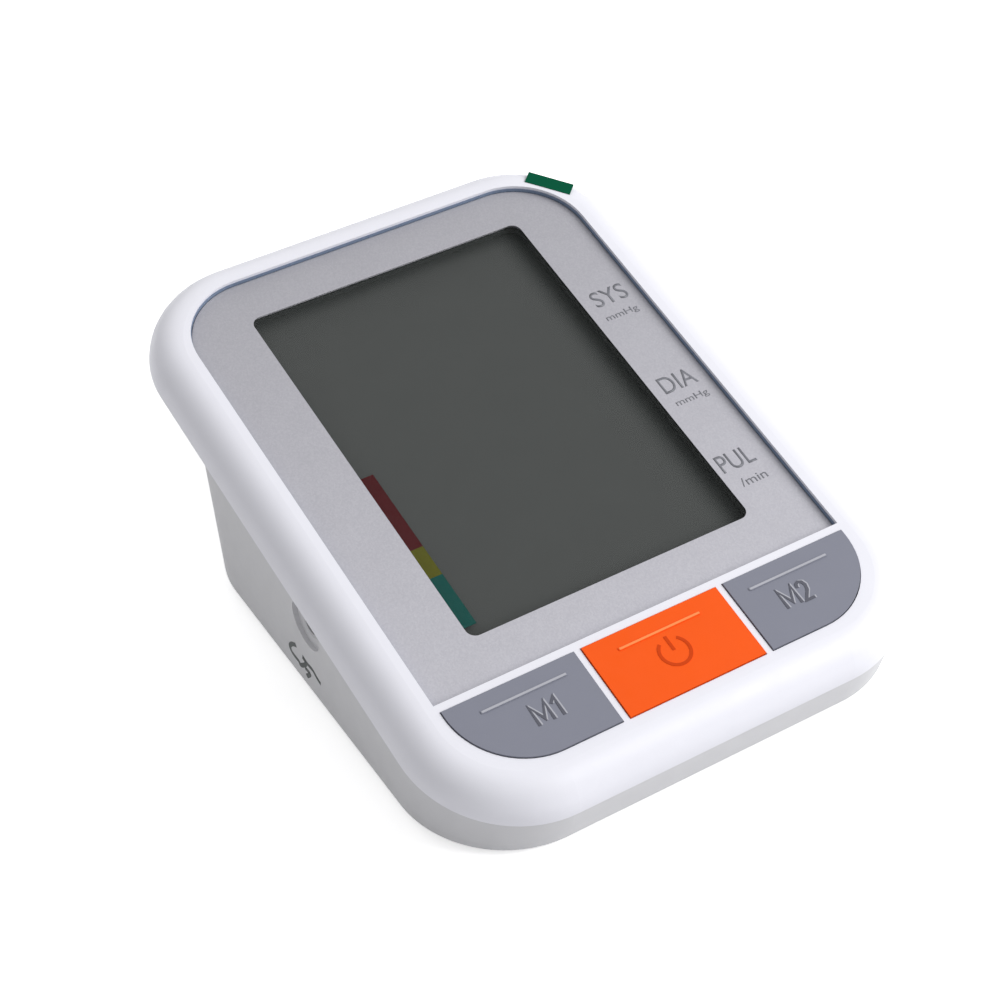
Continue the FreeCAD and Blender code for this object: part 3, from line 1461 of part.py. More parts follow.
def make_hoses():
    """Silicone hoses between the manifold and the socket, pump, valve and sensor."""
    x = number("manifold_x")
    y = number("socket_y")
    z = number("manifold_z")
    outer, inner = number("hose_radius"), number("hose_bore")
    near = number("manifold_half + hose_end_gap")
    port_end = number("manifold_port_end")
    bend = number("hose_bend_start")

    start = ("manifold_x", "socket_y", "manifold_z + manifold_half + hose_end_gap")
    length = "socket_z - socket_radius - manifold_z - manifold_half - 2 * hose_end_gap"
    sleeve = rod("socket_sleeve", start, "hose_radius", length)
    sleeve_bore = rod("socket_sleeve_bore", start, "hose_bore", length)
    keep(cut("socket_hose_shape", sleeve, sleeve_bore), "socket_hose")

    length = "2 * port_length + port_gap - 2 * hose_end_gap"
    start = ("manifold_x", "valve_port_y + hose_end_gap", "manifold_z")
    sleeve = rod("valve_sleeve", start, "hose_radius", length, "Y")
    sleeve_bore = rod("valve_sleeve_bore", start, "hose_bore", length, "Y")
    keep(cut("valve_hose_shape", sleeve, sleeve_bore), "valve_hose")

    port_x = number("pump_port_x")
    pump_front = number("head_front_y")
    points = [
        Vector(x, y + near, z),
        Vector(x, y + port_end + bend, z),
        Vector(port_x, pump_front - number("port_length") - bend, z),
        Vector(port_x, pump_front - number("hose_end_gap"), z),
    ]
    keep(tube("pump_hose_shape", points, outer, inner), "pump_hose")

    sensor_x = number("sensor_x")
    under = -number("board_under + sensor_height + hose_end_gap")
    points = [
        Vector(x + near, y, z),
        Vector(sensor_x, y, z),
        from_face(sensor_x, number("sensor_setback"), under),
    ]
    keep(tube("sensor_hose_shape", points, outer, inner), "sensor_hose")


def make_valve():
    """Solenoid exhaust valve: frame, coil, sliding plunger and seat with its port."""
    x, z = "manifold_x", "manifold_z"
    left = "manifold_x - valve_width / 2"
    base = box("valve_base", (left, "valve_front_y", "base_top"),
               ("valve_width", "valve_length", "valve_plate"))
    front = box("valve_front_plate", (left, "valve_front_y", "base_top"),
                ("valve_width", "valve_plate", "valve_height"))
    back = box("valve_back_plate", (left, "valve_back_y - valve_plate", "base_top"),
               ("valve_width", "valve_plate", "valve_height"))
    guide = "plunger_radius + plunger_clearance"
    hole = rod("valve_back_hole", (x, "valve_back_y - 2 * valve_plate", z), guide,
               "3 * valve_plate", "Y")
    keep(cut("valve_frame_shape", join("valve_frame_solid", base, front, back), hole),
         "valve_frame")

    coil_start = (x, "valve_front_y + valve_plate", z)
    coil_length = "valve_length - 2 * valve_plate"
    coil = rod("coil_block", coil_start, "coil_radius", coil_length, "Y")
    coil_bore = rod("coil_bore", coil_start, guide, coil_length, "Y")
    keep(cut("coil_shape", coil, coil_bore), "valve_coil")

    plunger = rod("plunger_rod", (x, "plunger_front_y", z), "plunger_radius",
                  "plunger_back_y - plunger_front_y", "Y")
    keep(group("plunger", plunger), "valve_plunger")

    seat = rod("seat_block", (x, "valve_back_y", z), "seat_radius", "seat_length", "Y")
    port = rod("seat_port", (x, "valve_back_y + seat_length / 2", z), "port_radius",
               "seat_length / 2 + port_length", "Y")
    cavity = rod("seat_cavity", (x, "valve_back_y", z), "seat_cavity_radius",
                 "seat_cavity_depth", "Y")
    drill = rod("seat_drill", (x, "valve_back_y", z), "port_bore",
                "seat_length + port_length", "Y")
    keep(cut("seat_shape", join("seat_solid", seat, port), cavity, drill), "valve_seat")


# ------------------------------------------------------------- the power jack and wires

def make_power_jack():
    """Round jack for the mains adaptor, in the right flank."""
    inner_x = "jack_face_x - jack_barrel_length - jack_length"
    block = box("jack_block",
                (inner_x, "jack_y - jack_width / 2", "jack_z - jack_height / 2"),
                ("jack_length", "jack_width", "jack_height"))
    barrel = rod("jack_barrel", ("jack_face_x - 2 * jack_barrel_length", "jack_y", "jack_z"),
                 "jack_barrel_radius", "2 * jack_barrel_length", "X")
    hole = rod("jack_bore_rod", ("jack_face_x - jack_bore_length", "jack_y", "jack_z"),
               "jack_bore", "jack_bore_length", "X")
    pin = rod("jack_pin", ("jack_face_x - jack_bore_length - jack_pin_radius", "jack_y",
                           "jack_z"),
              "jack_pin_radius", "jack_bore_length", "X")
    board_z = ("rim_front_height + (jack_y - rim_y) * tan(face_tilt)"
               " - board_under / cos(face_tilt)")
    leg = box("jack_leg", (inner_x, "jack_y - jack_leg_size / 2", "jack_z"),
              ("jack_leg_size", "jack_leg_size", f"{board_z} - jack_leg_gap - jack_z"))
    hollow = cut("jack_hollow", join("jack_outer", block, barrel), hole)
    keep(join("jack_shape", hollow, pin, leg), "power_jack")


def make_pump_leads():
    """Two insulated wires from the board's header over the pump to its motor."""
    spacing = number("wire_spacing")
    radius = number("wire_radius")
    gap = number("wire_end_gap")
    header_back = number("header_setback + header_length") + gap
    header_depth = -number("board_under + header_height / 2")
    tab_y = number("motor_front_y + terminal_setback") - gap
    tab_z = number("pump_z + pump_radius / 2 + terminal_height / 2")
    tab_x = number("pump_x + pump_radius - terminal_width / 2")
    rise = number("wire_rise")
    lead = number("wire_lead_in")
    wires = []
    for side in (-0.5, 0.5):
        start = from_face(number("header_x") + side * spacing, header_back, header_depth)
        lead_in = from_face(start.x, header_back + lead, header_depth)
        end = Vector(tab_x + side * spacing, tab_y, tab_z)
        run = end.y - lead_in.y
        over = Vector(end.x, lead_in.y + run / 3, (lead_in.z + end.z) / 2 + rise)
        along = Vector(end.x, lead_in.y + 2 * run / 3, end.z + rise)
        wires.append(sweep([start, lead_in, over, along, end], radius))
    feature = doc.addObject("Part::Feature", "pump_leads_shape")
    feature.Shape = Part.makeCompound(wires)
    keep(feature, "pump_leads")


def make_valve_leads():
    """Two wires straight up from the valve's coil to the board."""
    board_z = ("rim_front_height + ({y} - rim_y) * tan(face_tilt)"
               " - board_under / cos(face_tilt)")
    offset = "2 * wire_spacing"
    inner_edge = f"({offset} - wire_radius)"
    coil_rise = f"sqrt(coil_radius * coil_radius - {inner_edge} * {inner_edge})"
    start = f"manifold_z + {coil_rise} + wire_end_gap"
    wires = []
    for side, share in (("front", "1 / 3"), ("back", "2 / 3")):
        y = f"(valve_front_y + valve_length * {share})"
        length = f"{board_z.format(y=y)} - wire_radius / 2 - ({start})"
        wires.append(rod(f"{side}_valve_wire", (f"manifold_x + {offset}", y, start),
                         "wire_radius", length))
    keep(group("valve_wires", *wires), "valve_leads")


def make_everything():
    """Build every sub-part of the monitor."""
    make_upper_casing()
    make_film_pull_tab()
    make_lens()
    make_display()
    for name, key in KEYS.items():
        make_key(name, key)
    make_switches()
    make_board()
    make_lower_casing()
    make_feet()
    make_casing_screws()
    make_cells()
    make_battery_contacts()
    make_battery_springs()
    make_battery_door()
    make_pump()
    make_air_socket()
    make_manifold()
    make_hoses()
    make_valve()
    make_power_jack()
    make_pump_leads()
    make_valve_leads()


def check_everything():
    """Stop unless every object is sound and every cut takes something away."""
    for thing in doc.Objects:
        if "Invalid" in thing.State or "Error" in thing.State:
            raise RuntimeError(f"{thing.Name} failed: {thing.State}")
        if thing.TypeId in ("PartDesign::Pocket", "PartDesign::SubtractiveBox"):
            if thing.Shape.Volume >= thing.BaseFeature.Shape.Volume - 1e-6:
                raise RuntimeError(f"{thing.Name} cuts nothing")
    for node in nodes:
        if node.Shape.isNull() or not node.Shape.isValid():
            raise RuntimeError(f"{node.Label} has no sound shape")


def write_everything():
    """Write each sub-part to parts/NODE.step."""
    os.makedirs("parts", exist_ok=True)
    for node in nodes:
        node.Shape.exportStep(os.path.join("parts", node.Label + ".step"))
        count = len(node.Shape.Solids)
        print(f"{node.Label:24s} {count:2d} solid(s) {node.Shape.Volume:10.1f} mm3")


fill_sheet()
make_everything()
doc.recompute()
check_everything()
write_everything()
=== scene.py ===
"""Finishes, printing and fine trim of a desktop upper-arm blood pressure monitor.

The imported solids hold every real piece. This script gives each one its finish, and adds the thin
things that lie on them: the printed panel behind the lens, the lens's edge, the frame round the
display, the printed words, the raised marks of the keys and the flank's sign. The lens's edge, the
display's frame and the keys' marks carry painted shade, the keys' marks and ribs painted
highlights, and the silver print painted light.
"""

import logging
import math
from dataclasses import dataclass, field
from enum import Enum
from typing import Any

import bmesh
import bpy
from mathutils import Matrix, Vector


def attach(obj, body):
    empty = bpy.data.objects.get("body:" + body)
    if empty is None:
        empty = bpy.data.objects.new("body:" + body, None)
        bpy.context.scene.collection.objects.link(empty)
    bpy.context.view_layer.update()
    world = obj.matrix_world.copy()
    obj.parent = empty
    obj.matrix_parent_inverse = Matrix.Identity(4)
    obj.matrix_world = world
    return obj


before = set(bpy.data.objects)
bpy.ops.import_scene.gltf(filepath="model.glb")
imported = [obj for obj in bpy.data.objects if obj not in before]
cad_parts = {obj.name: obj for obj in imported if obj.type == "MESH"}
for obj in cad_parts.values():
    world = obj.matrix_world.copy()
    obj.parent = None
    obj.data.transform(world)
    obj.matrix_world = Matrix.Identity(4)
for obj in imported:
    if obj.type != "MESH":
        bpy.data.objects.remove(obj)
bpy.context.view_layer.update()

MM = 0.001
# Blender's noise seldom leaves this range of values.
NOISE_LOW, NOISE_HIGH = 0.3, 0.7
LOG = logging.getLogger("monitor")


# ------------------------------------------------------------------ places and helpers


@dataclass(frozen=True)
class FacePlane:
    """The sloping face: x to the right, up the slope from the front edge, out of the face.

    Lengths are in millimetres.
    """

    tilt_deg: float = 13.3
    rim_y: float = -69.96
    rim_z: float = 17.1

    def to_row(self) -> Matrix:
        """Build the matrix from face millimetres to the row frame in metres.

        Returns:
            The matrix.
        """
        shift = Matrix.Translation(Vector((0.0, self.rim_y, self.rim_z)) * MM)
        turn = Matrix.Rotation(math.radians(self.tilt_deg), 4, "X")
        return shift @ turn @ Matrix.Scale(MM, 4)


FACE = FacePlane()


def linear(hex_colour: str) -> tuple[float, float, float, float]:
    """Turn an sRGB hex colour into linear RGBA.

    Args:
        hex_colour: six hex digits.

    Returns:
        Red, green, blue and an alpha of 1.
    """
    channels = [int(hex_colour[i : i + 2], 16) / 255 for i in (0, 2, 4)]
    red, green, blue = (
        c / 12.92 if c <= 0.04045 else ((c + 0.055) / 1.055) ** 2.4 for c in channels
    )
    return red, green, blue, 1.0


def add_node(
    tree: bpy.types.NodeTree,
    kind: str,
    inputs: dict[str | int, Any] | None = None,
    **settings: Any,
) -> bpy.types.Node:
    """Add a node with its settings, values and links.

    Args:
        tree: the node tree to add to.
        kind: the node's type.
        inputs: input name or index to a value, or to the socket that feeds it.
        settings: attributes of the node itself.

    Returns:
        The new node.
    """
    node = tree.nodes.new(kind)
    for name, value in settings.items():
        setattr(node, name, value)
    for key, value in (inputs or {}).items():
        if isinstance(value, bpy.types.NodeSocket):
            tree.links.new(value, node.inputs[key])
        else:
            node.inputs[key].default_value = value
    return node


def seen_by(tree: bpy.types.NodeTree, *rays: str) -> bpy.types.NodeSocket:
    """Tell whether a ray is of any of the kinds named.

    Args:
        tree: the node tree to add to.
        rays: the kinds, as the Light Path node names them.

    Returns:
        A socket that is 1 for those rays and 0 for the others.
    """
    path = add_node(tree, "ShaderNodeLightPath")
    seen = path.outputs[rays[0]]
    for ray in rays[1:]:
        either = add_node(
            tree, "ShaderNodeMath", {0: seen, 1: path.outputs[ray]}, operation="MAXIMUM"
        )
        seen = either.outputs[0]
    return seen


def scale_for(size_mm: float) -> float:
    """Noise scale at which one feature is about size_mm across."""
    return 1.0 / (size_mm * MM)


# ------------------------------------------------------------------------------ finishes


@dataclass(frozen=True)
class Finish:
    """A surface with a fine grain, a faint mottle and an uneven gloss."""

    name: str
    colour: str
    roughness: float = 0.5
    metallic: float = 0.0
    ior: float = 1.5
    specular: float = 0.5
    coat: float = 0.0
    coat_roughness: float = 0.12
    grain_mm: float = 0.35
    grain_depth_mm: float = 0.004
    mottle: float = 0.03
    mottle_mm: float = 6.0
    gloss_spread: float = 0.06
    gloss_scale: float = 0.4

    def build(self) -> bpy.types.Material:
        """Make the material.

        Returns:
            The new material, with its nodes.
        """
        material = bpy.data.materials.new(self.name)
        material.use_nodes = True
        tree = material.node_tree
        tree.nodes.clear()
        where = add_node(tree, "ShaderNodeTexCoord").outputs["Object"]
        shader = add_node(
            tree,
            "ShaderNodeBsdfPrincipled",
            {
                "Base Color": self.paint(tree, where),
                "Roughness": self.gloss(tree, where),
                "Normal": self.relief(tree, where),
                "Metallic": self.metallic,
                "IOR": self.ior,
                "Specular IOR Level": self.specular,
                "Coat Weight": self.coat,
                "Coat Roughness": self.coat_roughness,
            },
        )
        self.finish_shader(shader)
        add_node(tree, "ShaderNodeOutputMaterial", {"Surface": shader.outputs[0]})
        return material

    def paint(self, tree: bpy.types.NodeTree, where: bpy.types.NodeSocket) -> Any:
        """Base colour with a faint mottle."""
        return self.mottled(tree, where, linear(self.colour))

    def mottled(
        self, tree: bpy.types.NodeTree, where: bpy.types.NodeSocket, colour: Any
    ) -> bpy.types.NodeSocket:
        """Vary a colour a little from place to place.

        Args:
            tree: the material's tree.
            where: the coordinates.
            colour: a colour or the socket that gives one.

        Returns:
            The varied colour's socket.
        """
        noise = add_node(
            tree,
            "ShaderNodeTexNoise",
            {"Vector": where, "Scale": scale_for(self.mottle_mm), "Detail": 3.0},
        )
        level = add_node(
            tree,
            "ShaderNodeMapRange",
            {
                "Value": noise.outputs["Fac"],
                "From Min": NOISE_LOW,
                "From Max": NOISE_HIGH,
                "To Min": 1.0 - self.mottle,
                "To Max": 1.0,
            },
        )
        mixed = add_node(
            tree,
            "ShaderNodeVectorMath",
            {0: colour[:3] if isinstance(colour, tuple) else colour, "Scale": level.outputs[0]},
            operation="SCALE",
        )
        return mixed.outputs[0]

    def gloss(self, tree: bpy.types.NodeTree, where: bpy.types.NodeSocket) -> Any:
        """Let the roughness wander a little, at a finer scale than the mottle.

        Args:
            tree: the material's tree.
            where: the object coordinates.

        Returns:
            The roughness's socket.
        """
        noise = add_node(
            tree,
            "ShaderNodeTexNoise",
            {"Vector": where, "Scale": scale_for(self.mottle_mm * self.gloss_scale), "Detail": 4.0},
        )
        level = add_node(
            tree,
            "ShaderNodeMapRange",
            {
                "Value": noise.outputs["Fac"],
                "From Min": NOISE_LOW,
                "From Max": NOISE_HIGH,
                "To Min": max(self.roughness - self.gloss_spread, 0.02),
                "To Max": min(self.roughness + self.gloss_spread, 1.0),
            },
        )
        return level.outputs[0]

    def relief(self, tree: bpy.types.NodeTree, where: bpy.types.NodeSocket) -> Any:
        """Give the surface its fine grain as a bump.

        Args:
            tree: the material's tree.
            where: the object coordinates.

        Returns:
            The normal's socket.
        """
        noise = add_node(
            tree,
            "ShaderNodeTexNoise",
            {"Vector": where, "Scale": scale_for(self.grain_mm), "Detail": 2.0},
        )
        bump = add_node(
            tree,
            "ShaderNodeBump",
            {
                "Height": noise.outputs["Fac"],
                "Distance": self.grain_depth_mm * MM,
                "Strength": 1.0,
            },
        )
        return bump.outputs[0]

    def finish_shader(self, shader: bpy.types.Node) -> None:
        """Last settings of the shader; most finishes need none."""


@dataclass(frozen=True)
class FaceFinish(Finish):
    """A finish whose pattern is laid out on the sloping face."""

    def face_axes(
        self, tree: bpy.types.NodeTree, where: bpy.types.NodeSocket
    ) -> bpy.types.Node:
        """Split the place into face millimetres.

        Args:
            tree: the material's tree.
            where: the object coordinates.

        Returns:
            A Separate XYZ node that gives x, the way up the slope and the height.
        """
        inverse = FACE.to_row().inverted()
        mapping = add_node(
            tree,
            "ShaderNodeMapping",
            {
                "Vector": where,
                "Location": inverse.to_translation(),
                "Rotation": (math.radians(-FACE.tilt_deg), 0.0, 0.0),
                "Scale": (1 / MM,) * 3,
            },
        )
        return add_node(tree, "ShaderNodeSeparateXYZ", {0: mapping.outputs[0]})


@dataclass(frozen=True)
class SilverInk(FaceFinish):
    """Metallic silver ink screen-printed on the back of a clear panel."""

    fleck: str = "C9C8CE"
    fleck_mm: float = 0.28
    fleck_share: float = 0.42
    plain_share: float = 0.2
    front: float = 28.0
    back: float = 132.0
    front_painted_light: float = 1.1
    back_painted_light: float = 0.84

    def paint(self, tree: bpy.types.NodeTree, where: bpy.types.NodeSocket) -> Any:
        """Mix grey ink with tiny bright flakes, with painted light that pales it towards the keys.

        Args:
            tree: the material's tree.
            where: the object coordinates.

        Returns:
            The colour's socket.
        """
        cells = add_node(
            tree,
            "ShaderNodeTexVoronoi",
            {"Vector": where, "Scale": scale_for(self.fleck_mm)},
        )
        level = add_node(
            tree,
            "ShaderNodeMapRange",
            {
                "Value": cells.outputs["Color"],
                "From Min": self.plain_share,
                "From Max": 1.0,
                "To Min": 0.0,
                "To Max": self.fleck_share,
            },
        )
        mixed = add_node(
            tree,
            "ShaderNodeMix",
            {0: level.outputs[0], 6: linear(self.colour), 7: linear(self.fleck)},
            data_type="RGBA",
        )
        # Painted light: the ink is made lighter towards the front, by the keys, and darker towards
        # the back.
        slope = add_node(
            tree,
            "ShaderNodeMapRange",
            {
                "Value": self.face_axes(tree, where).outputs[1],
                "From Min": self.front,
                "From Max": self.back,
                "To Min": self.front_painted_light,
                "To Max": self.back_painted_light,
            },
        )
        lit = add_node(
            tree,
            "ShaderNodeVectorMath",
            {0: mixed.outputs[2], "Scale": slope.outputs[0]},
            operation="SCALE",
        )
        return self.mottled(tree, where, lit.outputs[0])


@dataclass(frozen=True)
class PolariserGlass(FaceFinish):
    """Dark polarised display glass, in its frame's shade at the right and a little at the back."""

    shade: str = "3A3D3C"
    right: float = 31.6
    back: float = 124.7
    reach_right: float = 6.5
    reach_back: float = 4.5

    def shaded_share(self, tree: bpy.types.NodeTree, axes: bpy.types.Node) -> Any:
        """Work out how far out of the frame's shade a place lies.

        Args:
            tree: the material's tree.
            axes: the node that gives face millimetres.

        Returns:
            A socket from 0, in the shade, to 1.
        """
        sides = ((self.right, self.reach_right), (self.back, self.reach_back))
        shares = [
            add_node(
                tree,
                "ShaderNodeMapRange",
                {
                    "Value": axes.outputs[output],
                    "From Min": side,
                    "From Max": side - reach,
                },
                interpolation_type="SMOOTHSTEP",
            ).outputs[0]
            for output, (side, reach) in enumerate(sides)
        ]
        both = add_node(
            tree, "ShaderNodeMath", {0: shares[0], 1: shares[1]}, operation="MULTIPLY"
        )
        return both.outputs[0]

    def paint(self, tree: bpy.types.NodeTree, where: bpy.types.NodeSocket) -> Any:
        """Darken the grey-green polariser towards the shaded sides.

        Args:
            tree: the material's tree.
            where: the object coordinates.

        Returns:
            The colour's socket.
        """
        mixed = add_node(
            tree,
            "ShaderNodeMix",
            {
                0: self.shaded_share(tree, self.face_axes(tree, where)),
                6: linear(self.shade),
                7: linear(self.colour),
            },
            data_type="RGBA",
        )
        return self.mottled(tree, where, mixed.outputs[2])


@dataclass(frozen=True)
class PrintedScale(FaceFinish):
    """Printed band in steps of colour up the slope: green, then yellow, then red."""

    changes: tuple[tuple[float, str], ...] = ((53.1, "5C5C1A"), (60.2, "4F181C"))
    start: float = 40.0
    end: float = 80.0

    def paint(self, tree: bpy.types.NodeTree, where: bpy.types.NodeSocket) -> Any:
        """Change the colour in steps up the slope.

        Args:
            tree: the material's tree.
            where: the object coordinates.

        Returns:
            The colour's socket.
        """
        axes = self.face_axes(tree, where)
        level = add_node(
            tree,
            "ShaderNodeMapRange",
            {"Value": axes.outputs[1], "From Min": self.start, "From Max": self.end},
        )
        ramp = add_node(tree, "ShaderNodeValToRGB", {0: level.outputs[0]})
        ramp.color_ramp.interpolation = "CONSTANT"
        elements = ramp.color_ramp.elements
        elements.remove(elements[1])
        elements[0].color = linear(self.colour)
        for place, colour in self.changes:
            share = (place - self.start) / (self.end - self.start)
            elements.new(share).color = linear(colour)
        return self.mottled(tree, where, ramp.outputs[0])


@dataclass(frozen=True)
class ClearAcrylic(Finish):
    """Clear cast acrylic: almost all see-through, with a polished top."""

    haze: float = 0.1

    def finish_shader(self, shader: bpy.types.Node) -> None:
        """Let what lies behind show."""
        shader.inputs["Alpha"].default_value = self.haze


class Axis(Enum):
    """Direction in which stripes follow each other."""

    ACROSS = 0
    ALONG = 1


@dataclass(frozen=True)
class Striped(Finish):
    """Even stripes of two colours along one axis."""

    other: str = "202020"
    pitch_mm: float = 1.0
    axis: Axis = Axis.ACROSS
    share: float = 0.5

    def paint(self, tree: bpy.types.NodeTree, where: bpy.types.NodeSocket) -> Any:
        """Lay two colours in turn.

        Args:
            tree: the material's tree.
            where: the object coordinates.

        Returns:
            The colour's socket.
        """
        axes = add_node(tree, "ShaderNodeSeparateXYZ", {0: where})
        wrapped = add_node(
            tree,
            "ShaderNodeMath",
            {0: axes.outputs[self.axis.value], 1: self.pitch_mm * MM, 2: 0.0},
            operation="WRAP",
        )
        beyond = add_node(
            tree,
            "ShaderNodeMath",
            {0: wrapped.outputs[0], 1: self.pitch_mm * MM * self.share},
            operation="GREATER_THAN",
        )
        mixed = add_node(
            tree,
            "ShaderNodeMix",
            {0: beyond.outputs[0], 6: linear(self.colour), 7: linear(self.other)},
            data_type="RGBA",
        )
        return self.mottled(tree, where, mixed.outputs[2])


@dataclass(frozen=True)
class SolderMask(Finish):
    """Green solder mask over copper tracks."""

    track: str = "1C7A45"
    track_pitch_mm: float = 4.2
    track_share: float = 0.07

    def paint(self, tree: bpy.types.NodeTree, where: bpy.types.NodeSocket) -> Any:
        """Show a lighter green where a track runs below the mask.

        Args:
            tree: the material's tree.
            where: the object coordinates.

        Returns:
            The colour's socket.
        """
        cells = add_node(
            tree,
            "ShaderNodeTexVoronoi",
            {"Vector": where, "Scale": scale_for(self.track_pitch_mm)},
            feature="DISTANCE_TO_EDGE",
        )
        track = add_node(
            tree,
            "ShaderNodeMath",
            {0: cells.outputs["Distance"], 1: self.track_share},
            operation="LESS_THAN",
        )
        mixed = add_node(
            tree,
            "ShaderNodeMix",
            {0: track.outputs[0], 6: linear(self.colour), 7: linear(self.track)},
            data_type="RGBA",
        )
        return self.mottled(tree, where, mixed.outputs[2])


# Injection-moulded ABS with a fine spark-eroded skin: soft, wide highlights.
WHITE_ABS = Finish("white_abs", "EDEDF5", roughness=0.42, grain_mm=0.3, mottle=0.012)
# The same plastic in warm light grey, a little duller.
GREY_ABS = Finish("light_grey_abs", "D6D6D9", roughness=0.55, grain_mm=0.25, mottle=0.02)
# Keys in satin ABS.
GREY_KEY_ABS = Finish("grey_key_abs", "838592", roughness=0.5, specular=0.35, mottle=0.02)
ORANGE_KEY_ABS = Finish("orange_key_abs", "F85A06", roughness=0.5, specular=0.25, mottle=0.02)
# Cast acrylic lens: clear, with a little haze from the film that still covers it.
LENS_ACRYLIC = ClearAcrylic(
    "lens_acrylic", "5E6261", roughness=0.12, mottle=0.0, haze=0.05, grain_depth_mm=0.0002
)
# Silver ink on the lens: its flakes give the fine sparkle, and painted light pales it towards the
# keys.
SILVER_INK = SilverInk("silver_screen_ink", "B2B1B9", roughness=0.45, coat=0.6, grain_mm=0.25)
# The lens's sawn edge, painted a dull blue that stands for the shade seen through the clear lens at
# its edge.
LENS_EDGE_SHADE = Finish("lens_edge_painted_shade", "74839C", roughness=0.3, mottle=0.05)
# Polarising film on the display glass: a dark grey-green, almost without gloss.
DISPLAY_GLASS = PolariserGlass(
    "polarised_display_glass", "4E504F", roughness=0.5, specular=0.1, grain_depth_mm=0.0
)
# Frame round the glass, dull and dark: a sheet of painted shade on the walls round the display.
SHROUD_SHADE = Finish("display_wall_painted_shade", "444746", roughness=0.9, specular=0.1)
# Printed film scale: deep colours, dimmed by the lens over them.
LEVEL_SCALE = PrintedScale("printed_level_scale", "10504A", roughness=0.5, specular=0.1)
# Screen-printed legend ink: a flat mid grey.
LEGEND_INK = Finish("grey_legend_ink", "77787F", roughness=0.5, mottle=0.02)
# Raised marks in the key's own plastic: their dark colour is painted shade, and the lighter copies
# set beside them are painted highlights.
GREY_MARK_SHADE = Finish("grey_key_mark_painted_shade", "5F606A", roughness=0.4, specular=0.3, mottle=0.03)
GREY_GLINT = Finish("grey_key_glint", "B2B3BB", roughness=0.3, mottle=0.03)
ORANGE_MARK_SHADE = Finish("orange_key_mark_painted_shade", "CF4200", roughness=0.4, specular=0.2, mottle=0.03)
ORANGE_GLINT = Finish("orange_key_glint", "FF9352", roughness=0.3, mottle=0.03)
# Pad-printed dark sign on the flank.
SIGN_INK = Finish("dark_sign_ink", "343C3C", roughness=0.6, mottle=0.03)
# Polyester film tab with a printed green face.
GREEN_FILM = Finish(
    "green_polyester_film", "00553A", roughness=0.55, specular=0.06, mottle=0.04
)
# Moulded rubber: dull and slightly blotched.
FOOT_RUBBER = Finish("foot_rubber", "3A3B3D", roughness=0.85, grain_mm=0.5, mottle=0.08)
# Zinc-plated steel: bright, with a faint spangle.
ZINC_STEEL = Finish(
    "zinc_plated_steel", "B9BABC", roughness=0.32, metallic=1.0, mottle=0.08, mottle_mm=2.0
)
# Nickel-plated spring steel: warmer and glossier than zinc.
NICKEL_STEEL = Finish(
    "nickel_plated_steel", "C9C5BA", roughness=0.24, metallic=1.0, mottle=0.06
)
# Deep-drawn steel: grey, with a soft and uneven sheen.
CAN_STEEL = Finish(
    "drawn_steel_can", "A8A9AA", roughness=0.34, metallic=1.0, mottle=0.1, mottle_mm=3.0
)
# Punched steel sheets in a stack: fine dark lines between them.
STACK_STEEL = Striped(
    "laminated_steel", "7D7972", roughness=0.4, metallic=1.0, other="4A4743", pitch_mm=0.7,
    axis=Axis.ALONG,
)
# Sintered ferrite: almost black, like fired clay.
FERRITE = Finish("sintered_ferrite", "2A2A2C", roughness=0.75, mottle=0.15, mottle_mm=1.5)
# Moulded black ABS of the parts inside: even and half dull.
BLACK_ABS = Finish("black_abs", "1E1F21", roughness=0.55, mottle=0.06)
# Moulded grey ABS of the air socket: a shade darker than the casing round it.
SOCKET_ABS = Finish("socket_grey_abs", "C4C4C7", roughness=0.5, mottle=0.03)
# Undyed moulded nylon: a creamy white.
NATURAL_NYLON = Finish("natural_nylon", "E8E2D2", roughness=0.5, mottle=0.04)
# Moulded sensor housing and display holder: plain off-whites.
SENSOR_WHITE = Finish("sensor_housing", "DDDDD8", roughness=0.45, mottle=0.03)
HOLDER_WHITE = Finish("holder_polystyrene", "D9D8D3", roughness=0.5, mottle=0.03)
# Extruded silicone hose: milky, with a soft gloss.
SILICONE = Finish("silicone_hose", "CDD0CE", roughness=0.4, mottle=0.05, grain_mm=0.8)
# Lacquered circuit board: glossy green with paler tracks.
BOARD = SolderMask("solder_mask", "0F5A30", roughness=0.35)
# Moulded epoxy: black and matt.
CHIP = Finish("chip_epoxy", "17181A", roughness=0.6, grain_mm=0.15, mottle=0.08)
# Shrunk PVC sleeve: glossy dark blue.
CAPACITOR = Finish("capacitor_sleeve", "27335C", roughness=0.4, mottle=0.05)
# Layered silicone, plain and conducting: fine pink and dark stripes.
ZEBRA = Striped("zebra_elastomer", "C99BB0", roughness=0.7, other="3A2A30", pitch_mm=0.5)
# Plain foil jacket: a pale sheen with dark bands.
CELL_JACKET = Striped(
    "plain_cell_jacket", "A9AEB4", roughness=0.3, metallic=0.6, other="2C3036", pitch_mm=36.0,
    axis=Axis.ALONG, share=0.72,
)
# Enamelled copper wire, wound: reddish, with a fine dark line between turns.
COPPER_COIL = Striped(
    "taped_copper_winding", "B4652F", roughness=0.45, metallic=0.7, other="7C3E18",
    pitch_mm=0.35, axis=Axis.ALONG,
)
# PVC insulation: plain and glossy.
RED_WIRE = Finish("red_pvc", "B3160F", roughness=0.45, mottle=0.05)
BLACK_WIRE = Finish("black_pvc", "17171A", roughness=0.45, mottle=0.05)

